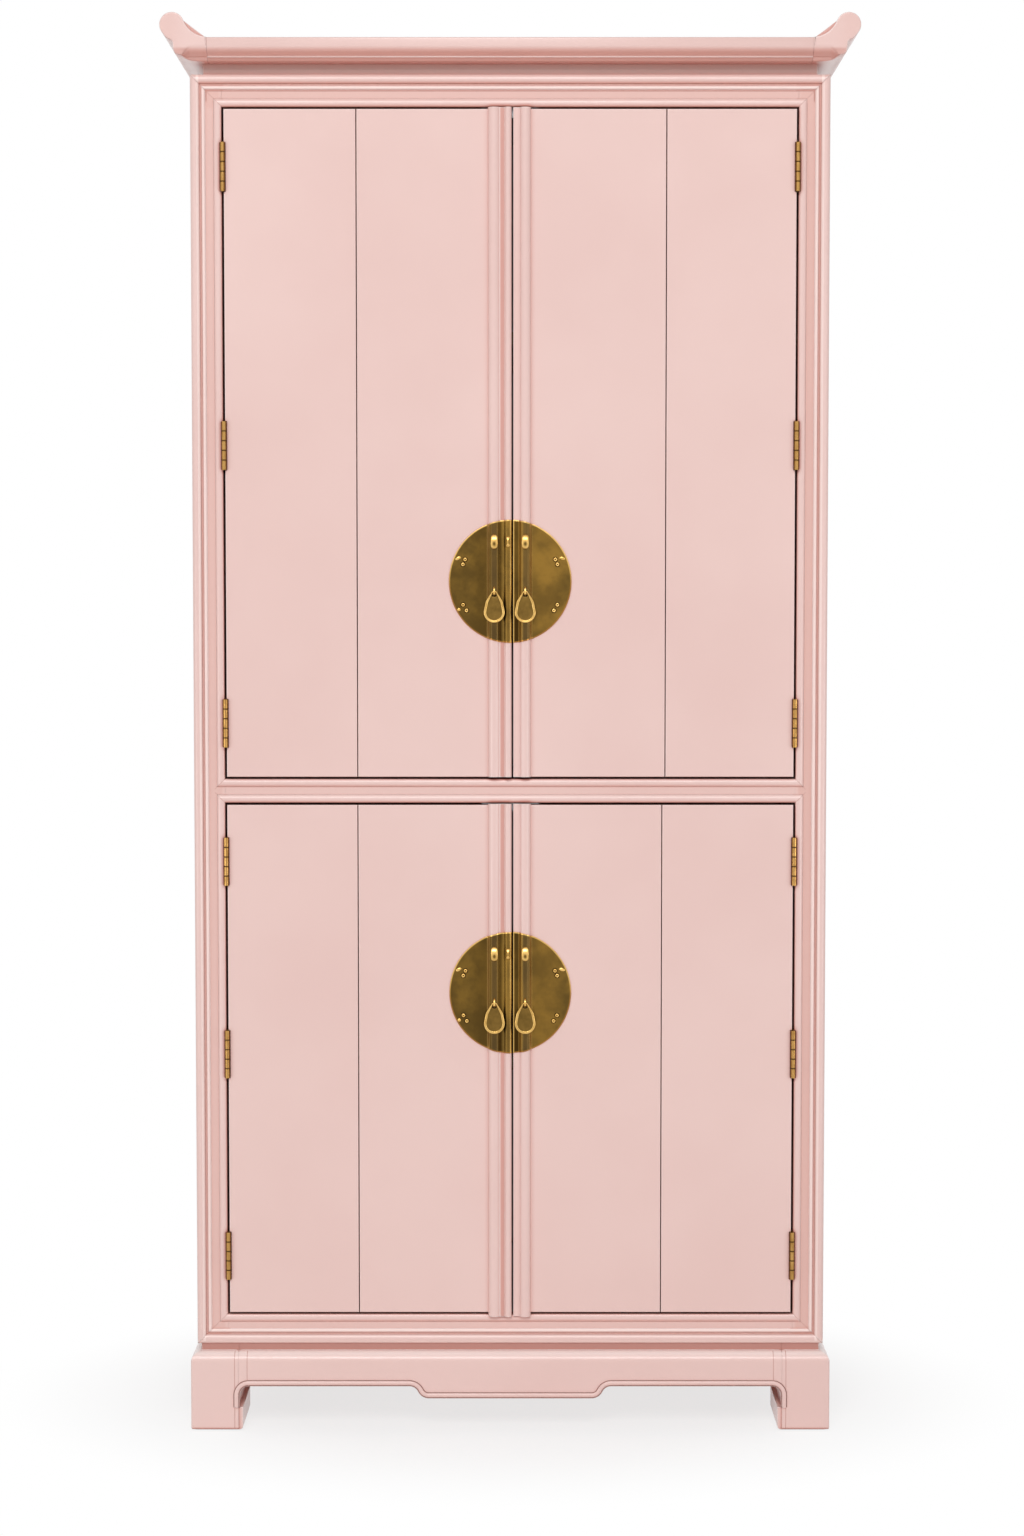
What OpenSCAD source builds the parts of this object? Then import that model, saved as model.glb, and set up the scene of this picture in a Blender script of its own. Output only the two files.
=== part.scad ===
// Tall two-compartment armoire with folding door pairs, upturned cap wings and a bracket-foot base.
// Lengths are millimetres: X runs across, Y from front to back, Z up from the floor.
// Depths named here are counted backwards from the front crest of the face frame.

/* [Case] */
// Width over the face frame
case_w = 1000; // [960:10:1040]
// Depth from the crest of the face frame to the back
case_d = 576; // [520:4:620]
// Height from the neck of the base to the frieze board
case_h = 2005; // [1960:5:2060]
// Thickness of the side panels
side_t = 19; // [16:1:22]
// Thickness of the back panel
back_t = 8; // [6:1:12]
// Thickness of the top and bottom boards
board_t = 22; // [18:1:26]
// Thickness of the divider between the compartments
divider_t = 30; // [22:1:34]
// Height of the batten under the top board
batten_h = 28; // [24:1:28]
// Depth of that batten
batten_d = 18; // [16:1:24]

/* [Face frame] */
// Depth of the back of the face frame
frame_d = 22; // [21:0.5:26]
// Width of each stile
stile_w = 49; // [46:1:56]
// Width of the top rail
top_rail_w = 50; // [50:1:56]
// Width of the rail between the compartments
mid_rail_w = 38; // [36:1:44]
// Width of the bottom rail
bottom_rail_w = 47; // [46:1:54]
// Height of the lower opening
lower_open_h = 819; // [790:1:850]
// Depth of the flat ground of the frame
flat_y = 5.4; // [5:0.1:6]
// Width of the ovolo at the outer edge
ovolo_w = 14; // [12:0.5:14]
// Fall of the ovolo from crest to edge
ovolo_fall = 4; // [3:0.5:4.5]
// Width of the groove beside the ovolo
groove_w = 3; // [2:0.5:3.5]
// Width of the thin bead beside the groove
thin_w = 6; // [5:0.5:6]
// Width of the bead round each opening
inner_w = 13; // [11:0.5:14]
// Depth of the crest of that bead
inner_y = 2.2; // [1.8:0.1:2.6]

/* [Doors] */
// Thickness of a door leaf
door_t = 18; // [17:0.1:18]
// Depth of the front face of the doors
door_y = 1.5; // [1.2:0.1:1.8]
// Rounding of the front arrises
arris_r = 1.5; // [0.8:0.1:2]
// Gap between a door and its opening
edge_gap = 3.2; // [3.1:0.1:4]
// Gap between the two leaves of one door
seam_gap = 1.2; // [0.9:0.1:1.6]
// Gap between the two doors
meet_gap = 2.6; // [2.5:0.1:3]
// Offset of the meeting gap from the middle
meet_x = 3.5; // [3:0.1:4]
// Seam of both left doors, from the middle
seam_left = 241; // [225:0.5:255]
// Seam of the upper right door, from the middle
seam_upper_right = 244.6; // [225:0.1:255]
// Seam of the lower right door, from the middle
seam_lower_right = 239.9; // [225:0.1:255]
// Depth of the crest of the meeting mouldings, in front of the frame
crest = 6.5; // [5.5:0.1:7]
// Width of the wide bead on the left door
left_bead_w = 19.7; // [18:0.1:20.5]
// Width of the bead on the right door
right_bead_w = 18.1; // [17:0.1:19]
// Radius of the narrow bead on the left door
edge_bead_r = 5.6; // [5:0.1:5.8]
// Rise of the mouldings above the doors
moulding_up = 2; // [1:0.5:3]
// Drop of the lower mouldings below the doors
moulding_down = 6; // [4:0.5:8]

/* [Hinges] */
// Length of a butt hinge
butt_len = 76; // [70:1:80]
// Radius of its barrel
butt_r = 4.6; // [4.2:0.1:4.7]
// Radius of its pin
butt_pin = 2; // [1.5:0.1:2.4]
// Length of a seam hinge
back_len = 60; // [50:1:64]
// Radius of its barrel
back_r = 3.2; // [2.9:0.1:3.3]
// Radius of its pin
back_pin = 1.5; // [1.2:0.1:1.7]
// Distance of the seam hinge axis from the back of the leaves
back_out = 3.5; // [3.5:0.1:4]
// Thickness of the hinge flaps
flap_t = 1.5; // [1.2:0.1:1.5]
// Radial clearance between pin and knuckle
pin_clear = 0.05; // [0.02:0.01:0.1]
// Radial clearance between barrel and woodwork
barrel_clear = 0.4; // [0.3:0.1:0.5]
// Top hinge below the top edge of a door
hinge_top = 89.8; // [80:0.1:100]
// Bottom hinge above the bottom edge of an upper door
hinge_low_upper = 84.8; // [80:0.1:100]
// Bottom hinge above the bottom edge of a lower door
hinge_low_lower = 91.8; // [80:0.1:100]
// Middle hinge of a lower door above the middle of the door
hinge_mid_lower = 9.4; // [0:0.1:20]

/* [Brass] */
// Diameter of the round plates
plate_d = 193; // [180:1:200]
// Thickness of the plates
plate_t = 1.2; // [0.8:0.1:1.4]
// Centre of the upper plate above the bottom edge of the upper doors
plate_upper = 308.5; // [250:0.5:400]
// Centre of the lower plate above the bottom edge of the lower doors
plate_lower = 514.5; // [400:0.5:560]
// Radius of a rivet head
rivet_r = 3.5; // [2.5:0.1:4]
// Height of a rivet head
rivet_h = 2; // [1:0.1:2]
// Mean radius of a lock staple
staple_r = 8.5; // [7.5:0.1:9]
// Width of a lock staple
staple_w = 11; // [9:0.5:12]
// Thickness of a lock staple
staple_t = 5; // [4:0.5:5]
// Height of the staples above the plate centre
staple_up = 62; // [55:1:66]
// Mean radius of a pull eye
eye_r = 5.5; // [5.4:0.1:5.8]
// Radius of its wire
eye_wire = 1.6; // [1.3:0.1:1.6]
// Distance of the eyes below the plate centre
eye_down = 15.5; // [12:0.5:18]
// Radius of the bar of a pull
bar_r = 1.4; // [1.2:0.1:1.4]
// Radius of the round end of a pull
pull_r = 16.5; // [15:0.1:17]
// Radius of the shoulder of a pull
pull_mid_r = 14.2; // [13:0.1:14.6]
// Centre of that shoulder below the bar
pull_mid = 20.6; // [19:0.1:22]
// Width of the rim of a pull
pull_rim = 3; // [2:0.1:4]
// Length of a pull from bar to tip
pull_l = 49; // [46:0.5:52]
// Thickness of a pull
pull_t = 2.8; // [2.4:0.1:2.8]
// Radius of the hole at its top
pull_hole_r = 3.6; // [3.5:0.1:3.8]

/* [Cap] */
// Reach of each wing beyond the case
wing_reach = 44; // [40:1:50]
// Overhang of the cap in front of the frame
cap_over = 24; // [22:0.5:26]
// Thickness of the cap
cap_t = 34; // [32:1:36]
// Height of the frieze board
frieze_h = 19; // [16:1:24]
// Set-back of the frieze board
frieze_in = 19; // [16:0.5:22]
// Radius of the wing's scroll
wing_r = 19.2; // [18:0.1:20]
// Radius of the hollow beside the scroll
wing_sweep = 40; // [36:0.5:42]
// Centre of the scroll above the cap
wing_rise = 18.9; // [17:0.1:20]
// Depth of the hollow from the front face
wing_hollow = 8; // [5:0.5:12]

/* [Base] */
// Height from the floor to the case
base_h = 139; // [135:1:145]
// Overhang of the base beyond the case
base_over = 9.8; // [8:0.1:11]
// Radius of the shoulder, which is also the set-back of the neck
shoulder_r = 16; // [14:0.5:17]
// Height of the neck
neck_h = 12; // [10:0.5:14]
// Width of a foot
foot_w = 76; // [72:1:84]
// Depth of a foot
foot_d = 120; // [100:1:140]
// Height of the toe
toe_h = 36; // [30:1:36]
// Reach of the toe beyond the foot
toe_out = 7; // [5:0.5:9]
// Set-back of the toe from the faces
toe_in = 2.2; // [1.5:0.1:3]
// Height of the apron's lower edge
apron_z = 74; // [72:0.5:80]
// Thickness of the front and side aprons
apron_t = 36; // [34:1:40]
// Thickness of the back apron
back_apron_t = 25; // [20:1:30]
// Radius where an apron meets a foot
spandrel_r = 16; // [12:0.5:18]
// Half length of the drop in the front apron
drop_half = 130; // [110:1:160]
// Depth of that drop
drop_h = 19.6; // [16:0.2:22]
// Radius of the curves at its ends
ogee_r = 17.2; // [16.4:0.2:18]
// Width of the bead along the base
bead_w = 7; // [6:0.5:8]
// Height of that bead
bead_h = 2.2; // [1.6:0.1:2.6]
// Thickness of the floor glides
glide_t = 2; // [1.5:0.5:3]
// Radius of the floor glides
glide_r = 12; // [10:1:15]

/* [Inside] */
// Thickness of the shelves
shelf_t = 20; // [18:1:25]
// Depth of the front edge of the shelves
shelf_front = 60; // [50:1:80]
// Drop of the bottom board below the lower opening
floor_drop = 8; // [4:1:12]
// Top of the lower shelf above the bottom board
shelf_lower_h = 412; // [350:1:480]
// Top of the first upper shelf above the divider
shelf_first_h = 360; // [320:1:400]
// Top of the second upper shelf above the divider
shelf_second_h = 715; // [670:1:740]
// Gap behind the shelves
shelf_back_gap = 4; // [2:1:8]
// Gap at each end of a shelf
shelf_gap = 1; // [0.5:0.5:2]
// Radius of the shelf pins
shelf_pin_r = 2.5; // [2:0.1:3]
// Length of the shelf pins
shelf_pin_l = 16; // [14:1:16]
// Depth of the front row of pins
pin_front = 100; // [90:1:120]
// Distance of the back row of pins from the back of the case
pin_rear = 52; // [40:1:70]
// Spacing of the pin holes
hole_pitch = 32; // [25:1:32]
// Half width of the magnetic catches
catch_half = 45; // [42:1:50]
// Depth of the magnetic catches behind the face frame
catch_d = 14; // [10:1:18]
// Height of the magnetic catches
catch_h = 14; // [12:1:14]
// Thickness of the strike plates
strike_t = 1.2; // [0.8:0.1:1.2]
// Gap between catch and strike plate
strike_gap = 0.3; // [0.2:0.1:0.6]

/* [Hidden] */
$fn = 64;
lacquer = [0.93, 0.80, 0.77];
pale_wood = [0.80, 0.66, 0.48];
brass = [0.55, 0.42, 0.18];
steel = [0.55, 0.56, 0.58];
felt = [0.25, 0.22, 0.20];

y_face = cap_over - (case_d + cap_over) / 2;
overall_w = case_w + 2 * wing_reach;
x_case = case_w / 2;
x_in = x_case - side_t;
x_open = x_case - stile_w;
x_door = x_open - edge_gap;
x_butt = x_open - edge_gap / 2;
x_base = x_case + base_over;
x_leg = x_base - foot_w;
y_base = -base_over;
y_leg = y_base + foot_d;
y_rear = case_d - foot_d;
z_case = base_h;
z_top = base_h + case_h;
z_low0 = z_case + bottom_rail_w;
z_low1 = z_low0 + lower_open_h;
z_up0 = z_low1 + mid_rail_w;
z_up1 = z_top - top_rail_w;
z_floor = z_low0 - floor_drop;
z_deck = z_low1 + divider_t;
z_cap = z_top + frieze_h;
z_cap1 = z_cap + cap_t;
z_shoulder = base_h - neck_h - shoulder_r;
strip_w = ovolo_w + groove_w + thin_w;
door_back = door_y + door_t;
y_seam = door_back + back_out;
knuckle_gap = 0.25;
left_bead_x = -25.15;
edge_bead_x = meet_x - meet_gap / 2 - edge_bead_r;
right_bead_x = 23.65;
groove_y = -2.5;
band_y = -0.5;
plate_crest = -crest - plate_t;
bar_y = plate_crest - 2;
bar_down = eye_down + 0.5;
x_scroll = overall_w / 2 - wing_r;
z_scroll = z_cap1 + wing_rise;
z_hollow = z_cap1 + wing_sweep;
wing_land = 0.25;
x_hollow = x_scroll - sqrt(pow(wing_r + wing_sweep + wing_land, 2) - pow(z_hollow - z_scroll, 2));
x_joint = floor(x_hollow + 2.2);
shelf_tops = [z_floor + shelf_lower_h, z_deck + shelf_first_h, z_deck + shelf_second_h];
pin_rows = [pin_front, case_d - pin_rear];

// Door sizes by side (-1 left, 1 right) and storey (1 upper, 0 lower)
function door_z0(up) = (up == 1 ? z_up0 : z_low0) + edge_gap;
function door_z1(up) = (up == 1 ? z_up1 : z_low1) - edge_gap;
function seam_x(s, up) = s < 0 ? seam_left : (up == 1 ? seam_upper_right : seam_lower_right);
function meet_edge(s) = meet_x + s * meet_gap / 2;
function bead_x(s) = s < 0 ? left_bead_x : right_bead_x;
function bead_half(s) = (s < 0 ? left_bead_w : right_bead_w) / 2;
function plate_z(up) = door_z0(up) + (up == 1 ? plate_upper : plate_lower);
function hinge_z(up) = [
    door_z0(up) + (up == 1 ? hinge_low_upper : hinge_low_lower),
    (door_z0(up) + door_z1(up)) / 2 + (up == 1 ? -1 : hinge_mid_lower),
    door_z1(up) - hinge_top];
// Radius of the arc with half chord a and height b
function arc_r(a, b) = (a * a + b * b) / (2 * b);

module block(x0, x1, y0, y1, z0, z1) {
    translate([x0, y0, z0]) cube([x1 - x0, y1 - y0, z1 - z0]);
}

// Profiles drawn in (y, z), (x, z) and (x, y)
module along_x(x0, x1) { translate([x0, 0, 0]) rotate([90, 0, 90]) linear_extrude(x1 - x0) children(); }
module along_y(y0, y1) { translate([0, y1, 0]) rotate([90, 0, 0]) linear_extrude(y1 - y0) children(); }
module along_z(z0, z1) { translate([0, 0, z0]) linear_extrude(z1 - z0) children(); }
module on_side(s) { if (s < 0) mirror([1, 0, 0]) children(); else children(); }
module both_sides() { children(); mirror([1, 0, 0]) children(); }
module placed() { translate([0, y_face, 0]) children(); }

// Rectangle with its two corners at the low second coordinate rounded
module soft_rect(a0, a1, b0, b1, r) {
    translate([a0, b0 + r]) square([a1 - a0, b1 - b0 - r]);
    translate([a0 + r, b0]) square([a1 - a0 - 2 * r, b1 - b0 - r]);
    translate([a0 + r, b0 + r]) circle(r);
    translate([a1 - r, b0 + r]) circle(r);
}

// Face frame

// Ovolo, groove and thin bead, from the outer edge inwards
module strip_2d() {
    intersection() {
        translate([ovolo_w / 2, arc_r(ovolo_w / 2, ovolo_fall)]) circle(arc_r(ovolo_w / 2, ovolo_fall));
        square([ovolo_w, ovolo_fall]);
    }
    translate([0, ovolo_fall]) square([ovolo_w, flat_y - ovolo_fall]);
    intersection() {
        translate([strip_w - thin_w / 2, flat_y + 0.1]) circle(thin_w / 2);
        translate([strip_w - thin_w, 0]) square([thin_w, flat_y]);
    }
}

module mitre(w) {
    along_y(-1, flat_y) polygon([[x_case, z_case], [x_case - w, z_case + w],
        [x_case - w, z_top - w], [x_case, z_top]]);
}

module stile() {
    block(x_open, x_case, flat_y, frame_d, z_case, z_top);
    intersection() {
        along_z(z_case, z_top) translate([x_case, 0]) mirror([1, 0]) strip_2d();
        mitre(strip_w);
    }
}

module rail_strip(z, s) {
    intersection() {
        along_x(-x_case, x_case) translate([0, z]) rotate(-90 * s) children();
        along_y(-1, flat_y) polygon([[-x_case, z], [x_case, z],
            [x_case - strip_w, z - s * strip_w], [strip_w - x_case, z - s * strip_w]]);
    }
}

module left_stile() { color(lacquer) placed() on_side(-1) stile(); }
module right_stile() { color(lacquer) placed() stile(); }

module top_rail() {
    color(lacquer) placed() {
        block(-x_open, x_open, flat_y, frame_d, z_up1, z_top);
        rail_strip(z_top, 1) strip_2d();
    }
}

module mid_rail() {
    color(lacquer) placed() block(-x_open, x_open, flat_y, frame_d, z_low1, z_up0);
}

module bottom_rail() {
    color(lacquer) placed() {
        block(-x_open, x_open, flat_y, frame_d, z_case, z_low0);
        rail_strip(z_case, -1) mirror([0, 1]) strip_2d();
    }
}

// Bead round an opening, from the opening edge outwards
module inner_2d() {
    h = flat_y - inner_y;
    intersection() {
        translate([inner_w / 2, inner_y + arc_r(inner_w / 2, h)]) circle(arc_r(inner_w / 2, h));
        square([inner_w, flat_y]);
    }
}

module opening_bead(z0, z1) {
    both_sides() intersection() {
        along_z(z0 - inner_w, z1 + inner_w) translate([x_open, 0]) inner_2d();
        along_y(0, flat_y) polygon([[x_open, z0], [x_open + inner_w, z0 - inner_w],
            [x_open + inner_w, z1 + inner_w], [x_open, z1]]);
    }
    intersection() {
        along_x(-x_case, x_case) {
            translate([0, z1]) mirror([1, -1]) inner_2d();
            translate([0, z0]) rotate(-90) inner_2d();
        }
        along_y(0, flat_y) {
            polygon([[-x_open, z1], [x_open, z1], [x_open + inner_w, z1 + inner_w],
                [-x_open - inner_w, z1 + inner_w]]);
            polygon([[-x_open, z0], [x_open, z0], [x_open + inner_w, z0 - inner_w],
                [-x_open - inner_w, z0 - inner_w]]);
        }
    }
}

// Clearance round the barrels of the butt hinges
module barrel_room(up) {
    for (z = hinge_z(up)) translate([x_butt, 0, z - butt_len / 2 - barrel_clear])
        cylinder(r = butt_r + barrel_clear, h = butt_len + 2 * barrel_clear);
}

module opening_beads() {
    color(lacquer) placed() difference() {
        union() {
            opening_bead(z_low0, z_low1);
            opening_bead(z_up0, z_up1);
        }
        both_sides() { barrel_room(0); barrel_room(1); }
    }
}

// Case

module side() {
    difference() {
        block(x_in, x_case, frame_d, case_d, z_case, z_top);
        for (z = shelf_tops, k = [-1:1], y = pin_rows)
            translate([x_in - 1, y, z - shelf_t - shelf_pin_r + k * hole_pitch]) rotate([0, 90, 0])
                cylinder(r = shelf_pin_r + pin_clear, h = shelf_pin_l / 2 + 2);
    }
}

module left_side() { color(lacquer) placed() on_side(-1) side(); }
module right_side() { color(lacquer) placed() side(); }
module back_panel() { color(lacquer) placed() block(-x_in, x_in, case_d - back_t, case_d, z_case, z_top); }

module top_board() {
    color(lacquer) placed() {
        block(-x_in, x_in, frame_d, case_d - back_t, z_top - board_t, z_top);
        block(-x_in, x_in, frame_d, frame_d + batten_d, z_top - board_t - batten_h, z_top - board_t);
    }
}

module divider() { color(lacquer) placed() block(-x_in, x_in, frame_d, case_d - back_t, z_low1, z_deck); }

module bottom_board() {
    color(lacquer) placed() block(-x_in, x_in, frame_d, case_d - back_t, z_floor - board_t, z_floor);
}

module shelves() {
    color(pale_wood) placed() for (z = shelf_tops)
        block(shelf_gap - x_in, x_in - shelf_gap, shelf_front, case_d - back_t - shelf_back_gap, z - shelf_t, z);
}

module shelf_pins() {
    color(brass) placed() both_sides() for (z = shelf_tops, y = pin_rows)
        translate([x_in - shelf_pin_l / 2, y, z - shelf_t - shelf_pin_r]) rotate([0, 90, 0])
            cylinder(r = shelf_pin_r, h = shelf_pin_l);
}

module catches() {
    color(steel) placed() for (z = [z_up1, z_low1])
        block(-catch_half, catch_half, door_back + strike_t + strike_gap, frame_d + catch_d, z - catch_h, z);
}

// Cap

// Section of the cap and wings in (y, z): ovolo, fillet and cove under a plain face
module cap_2d(top, r) {
    y0 = -cap_over;
    difference() {
        union() {
            translate([y0, z_cap + 19]) square([cap_over + case_d, top - z_cap - 19 - r]);
            translate([y0 + r, z_cap + 19]) square([cap_over + case_d - r, top - z_cap - 19]);
            translate([y0 + r, top - r]) circle(r);
            translate([y0 + 9, z_cap + 19]) circle(9);
            translate([y0 + 9, z_cap + 6]) square([cap_over + case_d - 9, 14]);
            translate([y0 + 13.5, z_cap]) square([cap_over + case_d - 13.5, 7]);
        }
        translate([y0 + 13.5, z_cap - 2.5]) circle(8.5);
    }
}

module top_cap() { color(lacquer) placed() along_x(-x_joint, x_joint) cap_2d(z_cap1, 3); }

// Outline of the right wing, with its upper edge a straight slope
module wing_2d() {
    w = overall_w / 2;
    t = (x_scroll - x_hollow) / (wing_r + wing_sweep + wing_land);
    u = (z_hollow - z_scroll) / (wing_r + wing_sweep + wing_land);
    translate([x_scroll, z_scroll]) circle(wing_r);
    translate([w - 31.4, z_cap + 15.9]) circle(10);
    polygon([[x_joint, z_cap], [w - 69, z_cap], [w - 46.5, z_cap + 1.3], [w - 34, z_cap + 5.9],
        [w - 22.3, z_cap + 19], [w - 20.4, z_cap + 27.3], [w - 17.4, z_cap + 29.8],
        [w - 10.3, z_cap + 33.6], [w - 6, z_cap + 38.6], [x_scroll, z_scroll],
        [x_scroll - wing_r * t, z_scroll + wing_r * u], [x_joint + 1.5, z_cap1], [x_joint, z_cap1]]);
}

module wing() {
    difference() {
        intersection() {
            along_x(x_joint, overall_w / 2 + 1) cap_2d(z_cap1 + 2 * wing_sweep, 3);
            along_y(-cap_over - 1, case_d) wing_2d();
        }
        translate([x_hollow, wing_hollow - cap_over, z_hollow]) rotate([90, 0, 0])
            cylinder(r = wing_sweep, h = wing_hollow + 2);
    }
}

module left_wing() { color(lacquer) placed() on_side(-1) wing(); }
module right_wing() { color(lacquer) placed() wing(); }

module frieze_board() {
    color(lacquer) placed()
        block(frieze_in - x_case, x_case - frieze_in, frieze_in, case_d, z_top, z_cap);
}

// Base

// Face, rounded shoulder and neck, from the face inwards; r rounds the lower edge
module base_2d(d, z0, r) {
    translate([0, z0 + r]) square([d, z_shoulder - z0 - r]);
    translate([r, z0]) square([d - r, z_shoulder - z0]);
    translate([shoulder_r, z_shoulder - 1]) square([d - shoulder_r, base_h - z_shoulder + 1]);
    translate([shoulder_r, z_shoulder]) circle(shoulder_r);
    if (r > 0) translate([r, z0 + r]) circle(r);
}

module foot(y0, y1, rear) {
    intersection() {
        along_x(x_leg, x_base)
            if (rear) translate([y0, glide_t]) square([y1 - y0, base_h - glide_t]);
            else translate([y0, 0]) base_2d(y1 - y0, glide_t, 4);
        along_y(y0, y1) translate([x_base, 0]) mirror([1, 0]) base_2d(foot_w, glide_t, 4);
        along_z(glide_t, base_h) {
            translate([x_leg, y0 + 3]) square([foot_w, y1 - y0 - 3]);
            translate([x_leg, y0]) square([foot_w - 3, 4]);
            translate([x_base - 3, y0 + 3]) circle(3);
        }
    }
    intersection() {
        block(x_leg - toe_out, x_base - toe_in, rear ? y0 - toe_out : y0 + toe_in,
            rear ? y1 - toe_in : y1 + toe_out, glide_t, glide_t + toe_h);
        along_y(y0 - toe_out, y1 + toe_out)
            soft_rect(x_leg - toe_out, x_base - toe_in, glide_t, glide_t + toe_h, 6);
    }
}

module front_feet() { color(lacquer) placed() both_sides() foot(y_base, y_leg, false); }
module back_feet() { color(lacquer) placed() both_sides() foot(y_rear, case_d, true); }

// Fillet of material in the corner between an apron and a leg at +a
module spandrel_2d(a) {
    difference() {
        translate([a - spandrel_r, apron_z - spandrel_r]) square(spandrel_r);
        translate([a - spandrel_r, apron_z - spandrel_r]) circle(spandrel_r);
    }
}

ogee_dz = 2 * ogee_r - drop_h;
ogee_dx = sqrt(4 * ogee_r * ogee_r - ogee_dz * ogee_dz);
ogee_a = atan2(ogee_dz, ogee_dx);
z_drop = apron_z - drop_h;

module drop_2d() {
    translate([-drop_half, z_drop]) square([2 * drop_half, drop_h + 1]);
    for (s = [-1, 1]) scale([s, 1]) {
        intersection() {
            translate([drop_half, z_drop + ogee_r]) circle(ogee_r);
            translate([drop_half, z_drop]) square([ogee_r, drop_h + 1]);
        }
        difference() {
            polygon([[drop_half, z_drop + ogee_r], [drop_half + ogee_dx, apron_z - ogee_r],
                [drop_half + ogee_dx, apron_z + 1], [drop_half, apron_z + 1]]);
            translate([drop_half + ogee_dx, apron_z - ogee_r]) circle(ogee_r);
        }
    }
}

module front_apron() {
    color(lacquer) placed() intersection() {
        along_x(-x_leg, x_leg) translate([y_base, 0]) base_2d(apron_t, z_drop - 1, 0);
        along_y(y_base - 1, y_base + apron_t + 1) {
            translate([-x_leg, apron_z]) square([2 * x_leg, base_h - apron_z]);
            for (s = [-1, 1]) scale([s, 1]) spandrel_2d(x_leg);
            drop_2d();
        }
    }
}

module side_aprons() {
    m = (y_leg + y_rear) / 2;
    color(lacquer) placed() both_sides() intersection() {
        along_y(y_leg, y_rear) translate([x_base, 0]) mirror([1, 0])
            base_2d(apron_t, apron_z - spandrel_r - 1, 0);
        along_x(x_base - apron_t - 1, x_base + 1) translate([m, 0]) {
            translate([y_leg - m, apron_z]) square([y_rear - y_leg, base_h - apron_z]);
            for (s = [-1, 1]) scale([s, 1]) spandrel_2d(y_rear - m);
        }
    }
}

module back_apron() {
    color(lacquer) placed() block(-x_leg, x_leg, case_d - back_apron_t, case_d, apron_z, base_h);
}

// Half-round bead standing on the plane y = 0, towards -y
module bead_2d() {
    r = arc_r(bead_w / 2, bead_h);
    intersection() {
        translate([0, bead_h - r]) circle(r);
        translate([-bead_w / 2, 0]) square([bead_w, bead_h + 1]);
    }
}

module bead_level(a0, a1, z) { along_x(a0, a1) translate([0, z]) rotate(90) bead_2d(); }
module bead_post(a, z0, z1) { along_z(z0, z1) translate([a, 0]) mirror([0, 1]) bead_2d(); }
module bead_arc(a, z, r, t0, t1) {
    translate([a, 0, z]) rotate([90, 0, 0]) rotate([0, 0, t0])
        rotate_extrude(angle = t1 - t0) translate([r, 0]) bead_2d();
}

// Bead up a leg at +a and round the corner to the apron
module bead_corner(a) {
    bead_post(a + bead_w / 2, glide_t + toe_h, apron_z - spandrel_r);
    bead_arc(a - spandrel_r, apron_z - spandrel_r, spandrel_r + bead_w / 2, 0, 90);
}

module apron_beads() {
    b = bead_w / 2;
    m = (y_leg + y_rear) / 2;
    color(lacquer) placed() {
        translate([0, y_base, 0]) {
            both_sides() {
                bead_corner(x_leg);
                bead_level(drop_half + ogee_dx, x_leg - spandrel_r, apron_z + b);
                bead_arc(drop_half + ogee_dx, apron_z - ogee_r, ogee_r + b, 90, 180 - ogee_a);
                bead_arc(drop_half, z_drop + ogee_r, ogee_r - b, -90, -ogee_a);
            }
            bead_level(-drop_half, drop_half, z_drop + b);
        }
        both_sides() translate([x_base, m, 0]) rotate([0, 0, 90]) {
            both_sides() bead_corner(y_rear - m);
            bead_level(spandrel_r - (y_rear - m), y_rear - m - spandrel_r, apron_z + b);
        }
    }
}

module corner_blocks() {
    y0 = y_base + apron_t;
    y1 = case_d - back_apron_t;
    color(pale_wood) placed() both_sides() along_z(apron_z + 10, base_h - 5) {
        polygon([[x_leg, y0], [x_leg, y0 + 30], [x_leg - 30, y0]]);
        polygon([[x_leg, y1], [x_leg - 30, y1], [x_leg, y1 - 30]]);
    }
}

module glides() {
    color(felt) placed() both_sides() for (y = [(y_base + y_leg) / 2, (y_rear + case_d) / 2])
        translate([x_base - foot_w / 2, y, 0]) cylinder(r = glide_r, h = glide_t);
}

// Hinges

// Knuckles listed in ks out of five along a barrel centred on z
module knuckles(r, len, z, ks) {
    for (k = ks) translate([0, 0, z + (k / 5 - 0.5) * len + knuckle_gap / 2])
        cylinder(r = r, h = len / 5 - knuckle_gap);
}

// Flap with its tabs at the knuckles ks, pierced for three screws; x0 to x1 is its thickness
module butt_flap(x0, x1, y1, z, ks) {
    difference() {
        block(x0, x1, butt_r + barrel_clear, y1, z - butt_len / 2, z + butt_len / 2);
        for (k = [-1:1]) translate([x0 - 1, (butt_r + y1) / 2, z + k * 28]) rotate([0, 90, 0])
            cylinder(r = 3.1, h = flap_t + 2);
    }
    for (k = ks) block(x0, x1, (butt_pin + butt_r) / 2, butt_r + barrel_clear + 0.5,
        z + (k / 5 - 0.5) * butt_len + knuckle_gap / 2,
        z + ((k + 1) / 5 - 0.5) * butt_len - knuckle_gap / 2);
}

module butt_screws(x, y1, z, s) {
    for (k = [-1:1]) translate([x, (butt_r + y1) / 2, z + k * 28]) rotate([0, 90 * s, 0]) {
        cylinder(r = 1.6, h = 14);
        translate([0, 0, -flap_t]) cylinder(r = 3, h = flap_t + 0.01);
    }
}

module case_hinges() {
    color(brass) placed() both_sides() for (up = [0, 1], z = hinge_z(up)) {
        butt_flap(x_open - flap_t, x_open, frame_d - 2, z, [0, 2, 4]);
        butt_screws(x_open, frame_d - 2, z, 1);
        translate([x_butt, 0, 0]) {
            knuckles(butt_r, butt_len, z, [0, 2, 4]);
            translate([0, 0, z - butt_len / 2 + 1]) cylinder(r = butt_pin, h = butt_len - 2);
        }
    }
}

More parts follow.
